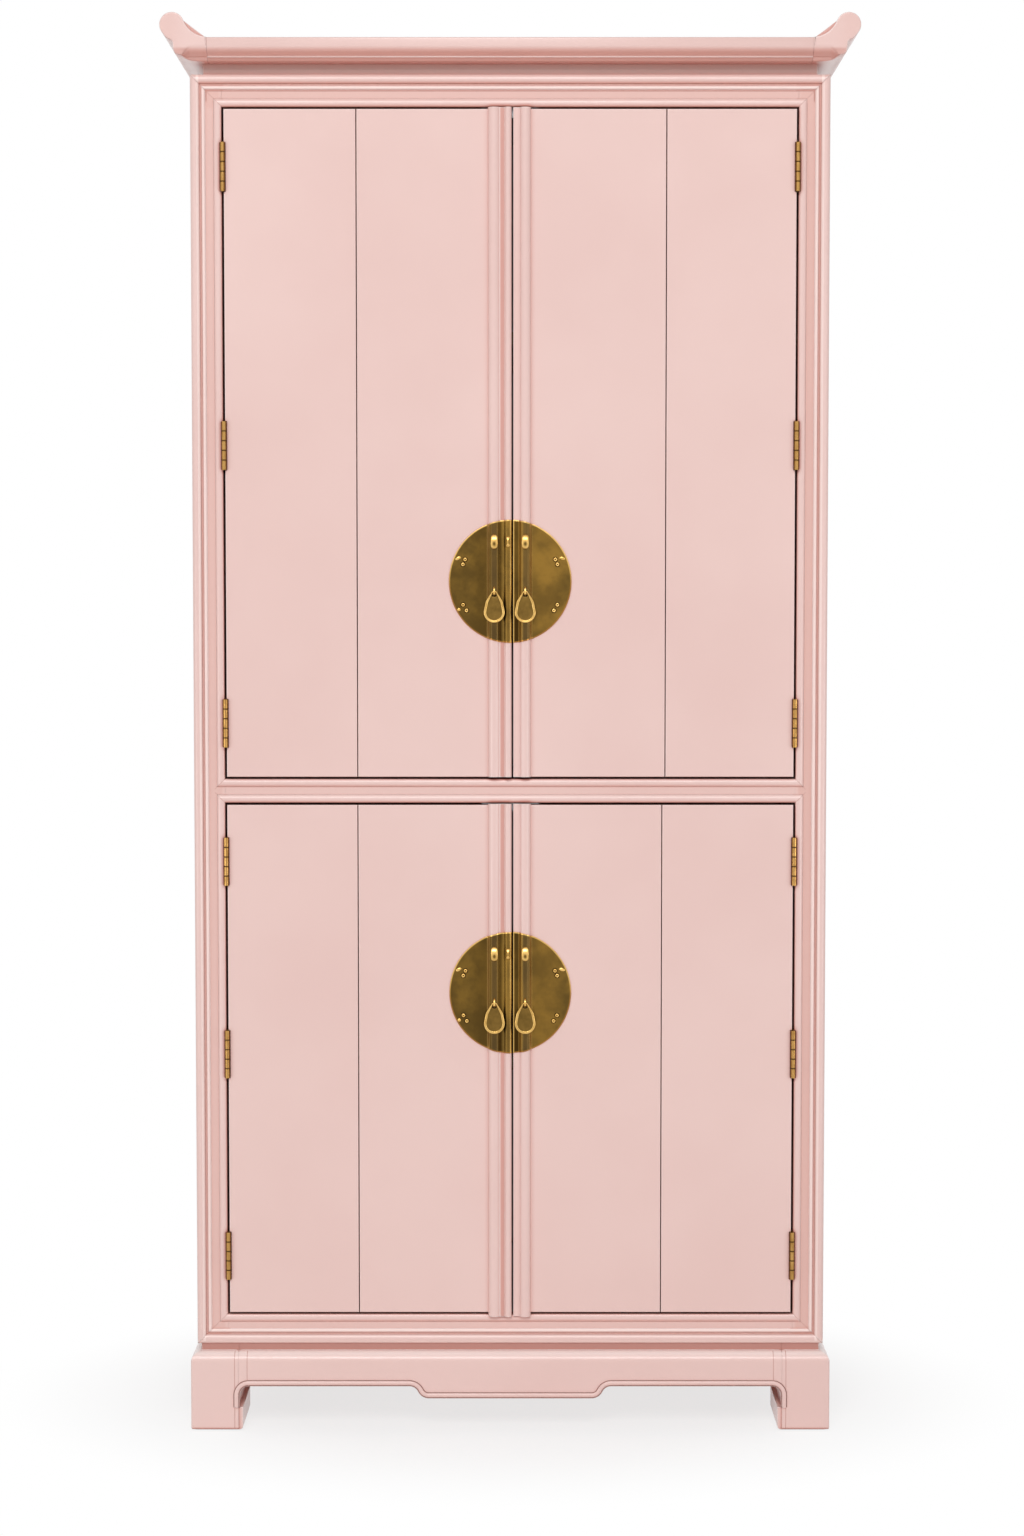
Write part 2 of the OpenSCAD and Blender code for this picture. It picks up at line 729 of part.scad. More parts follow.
// Seam hinge flap on the back of a leaf; s is 1 on the outer leaf and -1 on the inner one
module seam_flap(x, z, s, ks) {
    translate([x, 0, 0]) on_side(s) {
        difference() {
            block(back_r + 0.4, back_r + 22, door_back, door_back + flap_t,
                z - back_len / 2, z + back_len / 2);
            for (k = [-1, 1]) translate([back_r + 12, door_back - 1, z + k * 18]) rotate([-90, 0, 0])
                cylinder(r = 3.1, h = flap_t + 2);
        }
        for (k = [-1, 1]) translate([back_r + 12, door_back, z + k * 18]) rotate([-90, 0, 0]) {
            cylinder(r = 3, h = flap_t);
            translate([0, 0, -12]) cylinder(r = 1.6, h = 12.01);
        }
        for (k = ks) block(0.7, back_r + 0.9, door_back, door_back + flap_t,
            z + (k / 5 - 0.5) * back_len + knuckle_gap / 2,
            z + ((k + 1) / 5 - 0.5) * back_len - knuckle_gap / 2);
    }
}

// Doors

module leaf(x0, x1, up) {
    z0 = door_z0(up);
    z1 = door_z1(up);
    intersection() {
        along_z(z0, z1) soft_rect(x0, x1, door_y, door_back, arris_r);
        along_x(x0, x1) mirror([1, -1]) soft_rect(z0, z1, door_y, door_back, arris_r);
    }
}

module outer_leaf(s, up) {
    color(lacquer) placed() on_side(s) difference() {
        leaf(seam_x(s, up) + seam_gap / 2, x_door, up);
        barrel_room(up);
    }
}

module inner_leaf(s, up) {
    color(lacquer) placed() on_side(s) leaf(s * meet_edge(s), seam_x(s, up) - seam_gap / 2, up);
}

module outer_hinges(s, up) {
    x = seam_x(s, up);
    color(brass) placed() on_side(s) for (z = hinge_z(up)) {
        butt_flap(x_door, x_door + flap_t, door_back - 2, z, [1, 3]);
        butt_screws(x_door, door_back - 2, z, -1);
        translate([x_butt, 0, 0]) difference() {
            knuckles(butt_r, butt_len, z, [1, 3]);
            translate([0, 0, z - butt_len / 2]) cylinder(r = butt_pin + pin_clear, h = butt_len);
        }
        seam_flap(x, z, 1, [0, 2, 4]);
        translate([x, y_seam, 0]) {
            knuckles(back_r, back_len, z, [0, 2, 4]);
            translate([0, 0, z - back_len / 2 + 1]) cylinder(r = back_pin, h = back_len - 2);
        }
    }
}

module inner_hinges(s, up) {
    x = seam_x(s, up);
    color(brass) placed() on_side(s) {
        for (z = hinge_z(up)) {
            seam_flap(x, z, -1, [1, 3]);
            translate([x, y_seam, 0]) difference() {
                knuckles(back_r, back_len, z, [1, 3]);
                translate([0, 0, z - back_len / 2]) cylinder(r = back_pin + pin_clear, h = back_len);
            }
        }
        block(10, 40, door_back, door_back + strike_t, door_z1(up) - 14, door_z1(up) - 2);
    }
}

// Meeting moulding in (x, y), with every front surface moved out by g
module moulding_2d(s, g) {
    e = meet_edge(s);
    r = arc_r(bead_half(s), crest + door_y);
    intersection() {
        union() {
            translate([bead_x(s), r - crest]) circle(r + g);
            if (s < 0) {
                translate([left_bead_x, groove_y - g])
                    square([edge_bead_x - left_bead_x, door_y - groove_y + g]);
                translate([edge_bead_x, edge_bead_r - crest]) circle(edge_bead_r + g);
                translate([edge_bead_x - edge_bead_r - g, edge_bead_r - crest])
                    square([2 * edge_bead_r + g, door_y + crest - edge_bead_r]);
            } else {
                translate([e, band_y - g]) square([right_bead_x - e, door_y - band_y + g]);
            }
        }
        translate([s < 0 ? -80 : e, -20]) square([s < 0 ? 80 + e : 80, 20 + door_y]);
    }
}

module moulding(s, up) {
    color(lacquer) placed() along_z(door_z0(up) - (up == 1 ? 0 : moulding_down), door_z1(up) + moulding_up)
        moulding_2d(s, 0);
}

// Everything behind the front of the plate, in (x, y)
module behind_plate_2d(s) {
    e = meet_edge(s);
    moulding_2d(s, plate_t);
    translate([s < 0 ? e - plate_d : e, door_y - plate_t]) square([plate_d, 12]);
}

module plate(s, up) {
    color(brass) placed() intersection() {
        along_z(plate_z(up) - plate_d / 2 - 1, plate_z(up) + plate_d / 2 + 1) difference() {
            union() {
                moulding_2d(s, plate_t);
                translate([s < 0 ? meet_edge(s) - plate_d : meet_edge(s), door_y - plate_t])
                    square([plate_d, plate_t]);
            }
            moulding_2d(s, 0);
        }
        translate([0, 10, plate_z(up)]) rotate([90, 0, 0]) cylinder(r = plate_d / 2, h = 30);
    }
}

module dome(r, h) {
    rotate([90, 0, 0]) rotate_extrude() intersection() {
        translate([0, h - arc_r(r, h)]) circle(arc_r(r, h));
        square([r, h]);
    }
}

rivets = [[71, 34.5], [75, 26.6], [75, -36.5], [69.6, -45.7]];

// Ring standing over a bead; its lower half is cut away by the plate
module ring(x, z, r, w, t) {
    translate([x, plate_crest, z]) rotate([0, 90, 0]) rotate_extrude() translate([r - t / 2, -w / 2]) {
        translate([0, t / 3]) square([t, w - 2 * t / 3]);
        translate([t / 3, 0]) square([t / 3, w]);
        for (a = [t / 3, 2 * t / 3], b = [t / 3, w - t / 3]) translate([a, b]) circle(t / 3);
    }
}

module fittings(s, up) {
    z = plate_z(up);
    color(brass) placed() {
        for (p = rivets) translate([s * p[0], door_y - plate_t, z + p[1]]) dome(rivet_r, rivet_h);
        translate([s * 82.3, door_y - plate_t, z + 36.5]) dome(1.6, 0.8);
        difference() {
            union() {
                ring(bead_x(s), z + staple_up, staple_r, staple_w, staple_t);
                if (s < 0) ring(edge_bead_x, z + staple_up - 1, 5, 4, 3);
                translate([bead_x(s), plate_crest, z - eye_down]) rotate([0, 90, 0])
                    rotate_extrude() translate([eye_r, 0]) circle(eye_wire);
            }
            along_z(z - 40, z + 90) behind_plate_2d(s);
        }
    }
}

// Two circles on a vertical line joined by their tangents
module drop_shape(r0, z0, r1, z1) {
    a = asin((r1 - r0) / (z0 - z1));
    translate([0, z0]) circle(r0);
    translate([0, z1]) circle(r1);
    polygon([[r0 * cos(a), z0 + r0 * sin(a)], [r1 * cos(a), z1 + r1 * sin(a)],
        [-r1 * cos(a), z1 + r1 * sin(a)], [-r0 * cos(a), z0 + r0 * sin(a)]]);
}

// Lower half of a pull's outline drawn in by d, from its shoulder to its round end
module pull_2d(d) {
    drop_shape(pull_mid_r - d, -pull_mid, pull_r - d, pull_r - pull_l);
}

module pull(s, up) {
    color(brass) placed() translate([bead_x(s), bar_y, plate_z(up) - bar_down]) {
        rotate([0, 90, 0]) translate([0, 0, -3.5]) cylinder(r = bar_r, h = 7);
        difference() {
            along_y(-pull_t / 2, pull_t / 2) difference() {
                intersection() {
                    union() {
                        drop_shape(5, -3.6, pull_mid_r, -pull_mid);
                        pull_2d(0);
                    }
                    translate([-pull_r - 1, -pull_l - 1]) square([2 * pull_r + 2, pull_l + 1]);
                }
                translate([0, -pull_hole_r - 0.3]) circle(pull_hole_r);
            }
            along_y(-pull_t, 0.8 - pull_t / 2) pull_2d(pull_rim);
        }
    }
}

module upper_left_outer_leaf() { outer_leaf(-1, 1); }
module upper_left_outer_hinges() { outer_hinges(-1, 1); }
module upper_left_inner_leaf() { inner_leaf(-1, 1); }
module upper_left_moulding() { moulding(-1, 1); }
module upper_left_plate() { plate(-1, 1); }
module upper_left_fittings() { fittings(-1, 1); }
module upper_left_inner_hinges() { inner_hinges(-1, 1); }
module upper_left_pull() { pull(-1, 1); }
module upper_right_outer_leaf() { outer_leaf(1, 1); }
module upper_right_outer_hinges() { outer_hinges(1, 1); }
module upper_right_inner_leaf() { inner_leaf(1, 1); }
module upper_right_moulding() { moulding(1, 1); }
module upper_right_plate() { plate(1, 1); }
module upper_right_fittings() { fittings(1, 1); }
module upper_right_inner_hinges() { inner_hinges(1, 1); }
module upper_right_pull() { pull(1, 1); }
module lower_left_outer_leaf() { outer_leaf(-1, 0); }
module lower_left_outer_hinges() { outer_hinges(-1, 0); }
module lower_left_inner_leaf() { inner_leaf(-1, 0); }
module lower_left_moulding() { moulding(-1, 0); }
module lower_left_plate() { plate(-1, 0); }
module lower_left_fittings() { fittings(-1, 0); }
module lower_left_inner_hinges() { inner_hinges(-1, 0); }
module lower_left_pull() { pull(-1, 0); }
module lower_right_outer_leaf() { outer_leaf(1, 0); }
module lower_right_outer_hinges() { outer_hinges(1, 0); }
module lower_right_inner_leaf() { inner_leaf(1, 0); }
module lower_right_moulding() { moulding(1, 0); }
module lower_right_plate() { plate(1, 0); }
module lower_right_fittings() { fittings(1, 0); }
module lower_right_inner_hinges() { inner_hinges(1, 0); }
module lower_right_pull() { pull(1, 0); }

top_cap();
left_wing();
right_wing();
frieze_board();
top_board();
left_side();
right_side();
back_panel();
divider();
bottom_board();
left_stile();
right_stile();
top_rail();
mid_rail();
bottom_rail();
opening_beads();
front_feet();
back_feet();
front_apron();
back_apron();
side_aprons();
apron_beads();
corner_blocks();
glides();
shelves();
shelf_pins();
catches();
case_hinges();
upper_left_outer_leaf();
upper_left_outer_hinges();
upper_left_inner_leaf();
upper_left_moulding();
upper_left_plate();
upper_left_fittings();
upper_left_inner_hinges();
upper_left_pull();
upper_right_outer_leaf();
upper_right_outer_hinges();
upper_right_inner_leaf();
upper_right_moulding();
upper_right_plate();
upper_right_fittings();
upper_right_inner_hinges();
upper_right_pull();
lower_left_outer_leaf();
lower_left_outer_hinges();
lower_left_inner_leaf();
lower_left_moulding();
lower_left_plate();
lower_left_fittings();
lower_left_inner_hinges();
lower_left_pull();
lower_right_outer_leaf();
lower_right_outer_hinges();
lower_right_inner_leaf();
lower_right_moulding();
lower_right_plate();
lower_right_fittings();
lower_right_inner_hinges();
lower_right_pull();
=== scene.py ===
"""Tall pink lacquered armoire with folding door pairs: its finishes, brass, room and camera.

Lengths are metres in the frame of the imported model: X runs across, Y from front to back, Z up.
Under a heading that says millimetres, points are millimetres and are scaled by MM at the end.
"""
import math

import bmesh
import bpy
import numpy as np
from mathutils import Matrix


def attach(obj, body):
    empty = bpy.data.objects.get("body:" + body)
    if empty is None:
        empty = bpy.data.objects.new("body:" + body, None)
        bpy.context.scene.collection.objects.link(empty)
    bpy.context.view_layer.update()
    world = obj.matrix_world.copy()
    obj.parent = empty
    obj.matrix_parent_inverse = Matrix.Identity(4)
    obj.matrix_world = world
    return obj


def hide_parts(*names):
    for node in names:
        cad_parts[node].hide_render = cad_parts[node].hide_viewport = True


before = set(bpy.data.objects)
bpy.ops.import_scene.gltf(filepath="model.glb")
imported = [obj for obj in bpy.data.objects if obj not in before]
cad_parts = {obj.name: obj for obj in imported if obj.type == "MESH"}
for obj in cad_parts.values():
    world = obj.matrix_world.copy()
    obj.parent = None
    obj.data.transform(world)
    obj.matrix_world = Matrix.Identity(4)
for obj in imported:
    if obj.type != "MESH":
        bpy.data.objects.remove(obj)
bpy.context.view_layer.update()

MM = 0.001
SIDES = {-1: "left", 1: "right"}

# Places shared by finishes and shapes, in millimetres

FACE = -276  # Y of the front crest of the face frame
PLATE_Z = {"upper": 1354.7, "lower": 703.7}  # middles of the brass plates
PLATE_R = 96.5
BUTT_X = 449.4  # the pins of the butt hinges, either side
BUTT_Z = (281, 605, 912, 1131, 1567.5, 2001)  # and their middles
KNUCKLE = 15.2  # one of the five knuckles of their barrels


# Nodes

def paint(red, green, blue):
    """A paint chart's colour, 0 to 255 a channel, as the linear values of a shader."""
    c = np.array([red, green, blue]) / 255
    lin = np.where(c <= 0.04045, c / 12.92, ((c + 0.055) / 1.055) ** 2.4)
    return (*(float(x) for x in lin), 1.0)


WHITE = (1.0, 1.0, 1.0, 1.0)


class Value:
    """A number coming out of a node, with Python's arithmetic on it."""

    def __init__(self, graph, socket):
        self.graph, self.socket = graph, socket

    def math(self, operation, *others):
        inputs = dict(enumerate([self, *others]))
        node = self.graph.add("ShaderNodeMath", {"operation": operation}, inputs)
        return Value(self.graph, node.outputs[0])

    def __add__(self, other): return self.math("ADD", other)
    def __sub__(self, other): return self.math("SUBTRACT", other)
    def __mul__(self, other): return self.math("MULTIPLY", other)
    def __truediv__(self, other): return self.math("DIVIDE", other)
    def __pow__(self, other): return self.math("POWER", other)
    def __rsub__(self, other): return (self * -1) + other
    __radd__, __rmul__ = __add__, __mul__

    def absolute(self): return self.math("ABSOLUTE")
    def least(self, other): return self.math("MINIMUM", other)
    def most(self, other): return self.math("MAXIMUM", other)

    def step(self, start, end, low=0.0, high=1.0):
        """Goes smoothly from low at start to high at end."""
        node = self.graph.add("ShaderNodeMapRange", {"interpolation_type": "SMOOTHSTEP"},
                              {0: self, 1: start, 2: end, 3: low, 4: high})
        return Value(self.graph, node.outputs[0])

    def rise(self, start, end):
        """0 up to start, 1 from end on, both in millimetres."""
        return self.step(start * MM, end * MM)

    def fall(self, start, end):
        """1 up to start, 0 from end on, both in millimetres."""
        return self.step(start * MM, end * MM, 1.0, 0.0)

    def band(self, centre, half, soft):
        """1 within half of centre, gone at half + soft, all in millimetres."""
        return (self - centre * MM).absolute().fall(half, half + soft)


class Graph:
    """A node tree and the call that adds a node to it."""

    def __init__(self, tree):
        self.tree = tree

    def feed(self, node, inputs):
        for key, value in inputs.items():
            if isinstance(value, Value):
                value = value.socket
            if isinstance(value, bpy.types.NodeSocket):
                self.tree.links.new(value, node.inputs[key])
            else:
                node.inputs[key].default_value = value

    def add(self, kind, settings=None, inputs=None):
        node = self.tree.nodes.new(kind)
        for key, value in (settings or {}).items():
            setattr(node, key, value)
        self.feed(node, inputs or {})
        return node

    def show_white(self, part, own, kind, output):
        """Sends the shader own to the output, but part white to the rays that see the background.

        Those come from the lens, off metal and gloss, or through glass.
        """
        path = self.add("ShaderNodeLightPath").outputs
        lens, gloss, glass = (Value(self, path[f"Is {ray} Ray"])
                              for ray in ("Camera", "Glossy", "Transmission"))
        seen = (lens + gloss + glass).least(1.0)
        white = self.add(kind, None, {"Color": WHITE, "Strength": 1.0})
        blend = self.add("ShaderNodeMixShader", None,
                         {0: seen * part, 1: own.outputs[0], 2: white.outputs[0]})
        self.feed(self.tree.nodes[output], {"Surface": blend.outputs[0]})


def spelt(sockets):
    """The shader's own spelling of its socket names."""
    return {k.replace("_", " ").title().replace("Ior", "IOR"): v for k, v in sockets.items()}


class Finish(Graph):
    """One material: its Principled shader, and the tone on which colours are laid in turn."""

    def __init__(self, name, **sockets):
        self.material = bpy.data.materials.new(name)
        self.material.use_nodes = True
        super().__init__(self.material.node_tree)
        self.shader = self.tree.nodes["Principled BSDF"]
        self.feed(self.shader, spelt(sockets))
        self.place = self.add("ShaderNodeTexCoord").outputs["Object"]
        self.tone = None

    def set(self, **sockets):
        """Feeds the tone and the given values to the shader."""
        self.feed(self.shader, spelt({"base_color": self.tone, **sockets}))
        return self.material

    def mix(self, amount, under, over):
        """Colour going from under to over."""
        node = self.add("ShaderNodeMix", {"data_type": "RGBA"}, {0: amount, 6: under, 7: over})
        return node.outputs[2]

    def tint(self, amount, over):
        """Lays a colour on the tone."""
        self.tone = self.mix(amount, self.tone, over)

    def stretched(self, x, y, z):
        """Place on the object with each axis multiplied."""
        node = self.add("ShaderNodeVectorMath", {"operation": "MULTIPLY"},
                        {0: self.place, 1: (x, y, z)})
        return node.outputs[0]

    def noise(self, scale, detail=3.0, rough=0.5, place=None):
        inputs = {"Vector": place or self.place, "Scale": scale, "Detail": detail,
                  "Roughness": rough}
        return Value(self, self.add("ShaderNodeTexNoise", None, inputs).outputs["Fac"])

    def axes(self):
        node = self.add("ShaderNodeSeparateXYZ", None, {0: self.place})
        return [Value(self, s) for s in node.outputs]

    def mark(self):
        """The number kept at each point of a new piece."""
        node = self.add("ShaderNodeAttribute", {"attribute_name": "mark"})
        return Value(self, node.outputs["Fac"])

    def open_air(self, reach):
        """1 where nothing stands within reach, in millimetres, going to 0 down in gaps."""
        node = self.add("ShaderNodeAmbientOcclusion", {"samples": 6}, {"Distance": reach * MM})
        return Value(self, node.outputs["AO"])

    def bump(self, height, depth, normal=None):
        """Relief of height 0 to 1, depth millimetres tall at 1."""
        inputs = {"Height": height, "Distance": depth * MM, "Strength": 1.0}
        if normal is not None:
            inputs["Normal"] = normal
        return self.add("ShaderNodeBump", None, inputs).outputs[0]


# Lacquer: side is the distance from the middle of the front, either way

LIT, UNDER_SHADE = paint(253, 233, 228), paint(218, 138, 120)  # painted highlight on faces that look up, and painted shade on faces that look down
SHADE, CREST_HIGHLIGHT = paint(226, 182, 172), paint(253, 228, 221)  # painted shade on the flats of the frame, and painted highlight on its raised lines
# painted highlight along the arrises
ARRIS_HIGHLIGHT = paint(255, 248, 245)
CORNER_SHADE, GAP_SHADE = paint(208, 134, 118), paint(12, 4, 3)  # painted shade near another surface, and in the gaps between two

CASE_X = 0.5  # half the width of the case
CASE_LOW, CASE_TOP = 0.139, 2.144
NECK_LOW = 0.126  # the neck runs from here up to the case
MITRES = (  # (sign, sum, low, high): side + sign * z = sum, from low to high
    (-1, -1.6435, 2.080, 3.0),  # top rail
    (1, 0.638, -1.0, 0.200),  # bottom rail
    (1, 1.494, 1.027, 1.045),  # sill of the upper opening
    (-1, -0.554, 1.003, 1.021),  # head of the lower opening
)
UPRIGHTS = (  # (side, low, high)
    (0.440, -1.0, NECK_LOW),  # front foot and its corner post
    (0.420, 0.082, NECK_LOW),  # apron and foot
    (0.434, NECK_LOW, CASE_LOW),  # neck
)


def frame_joints(side, y, z):
    """Distance to the nearest joint line of the face frame and the base.

    Mitres run at 45 degrees out of the corners of the openings, and the joints of the base stand
    upright. Each line is cut short by taking the larger of its distance and that past its ends.
    """
    def joint(line, low, high):
        return line.absolute().most((z - high).most(low - z))

    base = joint(side - UPRIGHTS[0][0], *UPRIGHTS[0][1:])
    for at, low, high in UPRIGHTS[1:]:
        base = base.least(joint(side - at, low, high))
    nearest = base.most(y + 0.262)
    for sign, total, low, high in MITRES:
        nearest = nearest.least(joint(side + z * sign - total, low, high))
    return nearest


def paint_wing_shade(f, side, y, z):
    """Painted shade on the wings: darker outwards, and along a soft line low on their lobes."""
    outer = side * z.rise(2150, 2155)
    lobe_shade = (outer + z * 1.1).rise(2894, 2898) * outer.fall(516, 534) * z.band(2173.5, 3.5, 6)
    f.tint(lobe_shade * y.fall(-290, -280) * 0.75, paint(204, 146, 134))
    f.tint(outer.rise(500, 530) * 0.3, SHADE)


def paint_frame_light_and_shade(f, x, side, y, z):
    """Painted light on the face frame: shade on its flats, highlight on its raised lines, and shade
    on the neck, the frieze and a line under the top rail's bead.

    Gives where its flats are, and where the painted shade of corners is held back.
    """
    edge = (CASE_X - side).least(CASE_TOP - z).least(z - CASE_LOW)  # distance in from its outline
    front = y.fall(-262, -260)
    # painted shade on the flats of the frame, deeper on the stiles and the top rail
    flat = (y - FACE * MM).rise(3.4, 5.2) * z.rise(138, 140) * front
    flat_shade = 0.3 + side.rise(453, 458) * 0.35 + z.rise(2090, 2096) * 0.4 + x.rise(453, 458) * 0.3
    f.tint(flat * flat_shade.least(0.95), SHADE)

    # Painted highlight on the raised lines: round the outline, above the neck, and up the stiles
    crest = (edge.band(20.6, 1.9, 0.8) + z.band(140.5, 2.5, 1)
             + side.band(488.4, 1.8, 0.8) * z.rise(139, 141))
    f.tint(crest.least(1.0) * front * 0.75, CREST_HIGHLIGHT)

    # a painted shade line under the thin bead of the top rail
    top_line_shade = edge.band(24.9, 0.8, 0.6) * z.rise(2100, 2105)
    f.tint(top_line_shade * front * 0.85, paint(182, 126, 116))
    # painted shade on the neck under the case, and on the frieze under the cap
    neck, frieze = z.band(133, 5.5, 1), z.band(2153.5, 9, 1)
    f.tint(neck * 0.85, paint(172, 112, 100))
    f.tint(frieze * 0.35, paint(176, 112, 98))
    held = edge.band(20.4, 2.4, 0.8) + edge.band(6.5, 6, 1) * 0.7 + z.band(121, 6, 2)
    return flat, held.least(1.0) * 0.85


def lacquer_finish(name="pink_lacquer", quirked=False, jointed=False, door=False):
    """Sprayed pink lacquer: cloudy, with painted shade in corners and gaps, painted highlight on
    the arrises and on faces that look up, and painted shade on faces that look down.

    quirked paints the shade of the quirks along the base bead by their mark; jointed adds the joint
    lines of the face frame and the base, and painted light and shade on the frame, the neck and the
    frieze; door adds painted shade in the groove beside the meeting edge.
    """
    f = Finish(name, coat_weight=0.35, coat_roughness=0.16, ior=1.47)
    x, y, z = f.axes()
    side = x.absolute()
    plain = f.add("ShaderNodeNewGeometry").outputs["Normal"]
    tilt = Value(f, f.add("ShaderNodeSeparateXYZ", None, {0: plain}).outputs["Z"])
    down = tilt.step(-0.95, -0.05, 1.0, 0.0)
    air = f.open_air(8 if jointed or door else 16)

    cloud = f.noise(2.6, 3.0, 0.55)
    f.tone = f.mix(cloud.step(0.3, 0.7), paint(238, 205, 198), paint(234, 199, 192))
    # Painted highlight on faces that look up, less on the top rail's ovolo and more on the base's
    # shoulder, and painted shade on faces that look down, except those under the wings
    bright = 0.6 - z.band(2137, 8, 4) * 0.6 + z.band(120, 8, 3) * 0.4
    f.tint(tilt.step(0.4, 0.95) * bright, LIT)
    under_wing = side.rise(476, 480) * z.rise(2150, 2160) * y.rise(-280, -276)
    f.tint(down * (1 - under_wing) * 0.68, UNDER_SHADE)
    paint_wing_shade(f, side, y, z)
    if jointed:
        flat, held = paint_frame_light_and_shade(f, x, side, y, z)
        air = air + (1 - air) * held
    # painted shade in the groove between the left moulding's beads
    if door:
        groove = x.band(-12.1, 2.2, 1.8) * y.fall(-277.3, -276.6)
        f.tint(groove * 0.85, paint(208, 148, 136))
    # painted shade near other surfaces
    f.tint(((1 - air) * (1.0 if door else 1.5)).least(1.0), CORNER_SHADE)
    # greys the painted shade on the frieze
    if jointed:
        frieze = z.band(2157, 6, 5)
        f.tint(frieze * 0.4, paint(185, 158, 148))

    # Painted highlight along the arrises, found by a wider bevel of the normal, kept out of hollows
    # and off faces that look down
    soft_edges = f.add("ShaderNodeBevel", {"samples": 4}, {"Radius": 1.9 * MM}).outputs[0]
    turned = f.add("ShaderNodeVectorMath", {"operation": "DOT_PRODUCT"}, {0: soft_edges, 1: plain})
    arris = (1 - Value(f, turned.outputs["Value"])).step(0.006, 0.06)
    arris = arris * air.step(0.6, 0.85) * (1 - down)
    if jointed:  # no painted arris highlight where two pieces meet flush
        flush = side.band(451, 3, 1) * flat + side.band(434, 3, 1) * z.fall(139, 141)
        arris = arris * (1 - flush)
    f.tint(arris * 0.9, ARRIS_HIGHLIGHT)

    height = f.noise(420.0, 1.0, 0.4) * 0.25 + f.noise(24.0, 2.0, 0.5)
    # painted shade of the quirks along the base bead
    if quirked:
        f.tint(f.mark(), paint(182, 122, 110))
    if jointed:
        line = frame_joints(side, y, z).fall(0.25, 0.8)
        f.tint(line * 0.75, paint(190, 132, 120))
        height = height - line * 2
    # painted shade in narrow gaps, weaker from the frieze up, and kept out of the doors' meeting
    # gap
    deep = air.step(0.06, 0.4, 1.0, 0.0) * z.step(2.143, 2.150, 1.0, 0.2)
    if door:
        deep = deep * side.rise(100, 120)
    f.tint(deep, GAP_SHADE)
    return f.set(roughness=f.noise(9.0, 2.0).step(0.3, 0.7, 0.30, 0.38),
                 normal=f.bump(height, 0.06, soft_edges))


# Metal, wood and felt

def aged_brass_finish():
    """Antique sheet brass of the plates: brown clouds and specks, with painted highlight along its
    rim and meeting edges and painted shade in its hollows.
    """
    f = Finish("aged_brass", metallic=1.0, specular_tint=(1.0, 0.9, 0.7, 1.0))
    x, _, z = f.axes()
    cloud, fine = f.noise(16.0, 4.0, 0.6), f.noise(120.0, 3.0, 0.6)
    f.tone = f.mix(cloud.step(0.34, 0.66), paint(97, 75, 36), paint(132, 101, 45))
    f.tint(fine.step(0.55, 0.8) * 0.3, paint(82, 60, 28))
    left = x.fall(-40, 0) * 0.25 + x.band(-36, 6, 26) * 0.3
    f.tint(left, paint(74, 54, 22))
    right = x.band(56, 8, 26)
    f.tint(right * 0.2, paint(144, 107, 46))
    # painted reflection: the beads' crowns darker
    crown = x.absolute().band(25, 2.5, 5)
    f.tint(crown * 0.6, paint(86, 69, 44))
    flank = x.band(16, 1, 3) + x.band(-7, 3, 5) * 0.3
    f.tint(flank * 0.6, paint(150, 116, 56))
    lower, upper = (z - PLATE_Z[level] * MM for level in ("lower", "upper"))
    height = z.step(1.0, 1.06, lower, upper)  # above the middle of the plate
    # painted shade along the quirks beside the beads, deeper towards the bottom
    quirk = x.band(9.6, 2.2, 2.6) + x.band(-16.4, 1.5, 2.4)
    f.tint(quirk * height.step(-70 * MM, 0.0, 0.85, 0.6), paint(54, 35, 9))
    radius = (x * x + height * height) ** 0.5 + (fine - 0.5) * (0.8 * MM)
    # painted highlight round the rim, brighter above the middle than below
    rim = radius.rise(PLATE_R - 2.4, PLATE_R - 0.9)
    f.tint(rim * 0.9, f.mix(height.rise(-20, 30), paint(170, 118, 58), paint(226, 184, 106)))
    # painted highlight along the meeting edges
    meeting = x.rise(-0.4, 0.4) * x.fall(5.6, 6.6)
    f.tint(meeting * 0.9, paint(222, 180, 104))
    # painted highlight along the bends outside the beads
    fold_highlight = x.band(-34.6, 1, 1.4) + x.band(32.4, 1, 1.4)
    f.tint(fold_highlight * 0.75, paint(184, 148, 88))
    # painted shade near other surfaces, less on the bends
    shut_in_shade = f.open_air(10).step(0.2, 0.62, 1.0, 0.0)
    f.tint(shut_in_shade * (0.8 - fold_highlight * 0.6), paint(44, 31, 10))
    return f.set(roughness=cloud.step(0.3, 0.7, 0.32, 0.44) - rim * 0.1,
                 normal=f.bump(f.noise(60.0, 2.0) + fine * 0.3, 0.10))


def rubbed_brass_and_painted_light_finish():
    """Cast brass of pulls, staples and rivets: bright at a mark of 1, brown at 0, black at -1. The
    marks give rubbed brass with painted highlights, and painted shadow at the feet of the rivets.
    """
    f = Finish("rubbed_brass_and_painted_light", metallic=1.0)
    shine = f.mark()
    cloud, fine = f.noise(70.0, 3.0, 0.6).step(0.3, 0.7), f.noise(260.0, 3.0, 0.6)
    dull = f.mix(cloud, paint(104, 80, 38), paint(124, 96, 47))
    bright = f.mix(cloud, paint(238, 196, 118), paint(212, 168, 92))
    f.tone = f.mix(shine.step(0.15, 0.9), dull, bright)
    # painted shadow where the mark is below 0
    f.tint(shine.step(-0.9, -0.1, 1.0, 0.0), paint(40, 27, 10))
    # painted shade within 3 mm of other surfaces
    f.tint(f.open_air(3).step(0.1, 0.7, 1.0, 0.0) * 0.7, paint(70, 46, 14))
    return f.set(roughness=0.38 - shine.most(0.0) * 0.1, normal=f.bump(fine, 0.03))


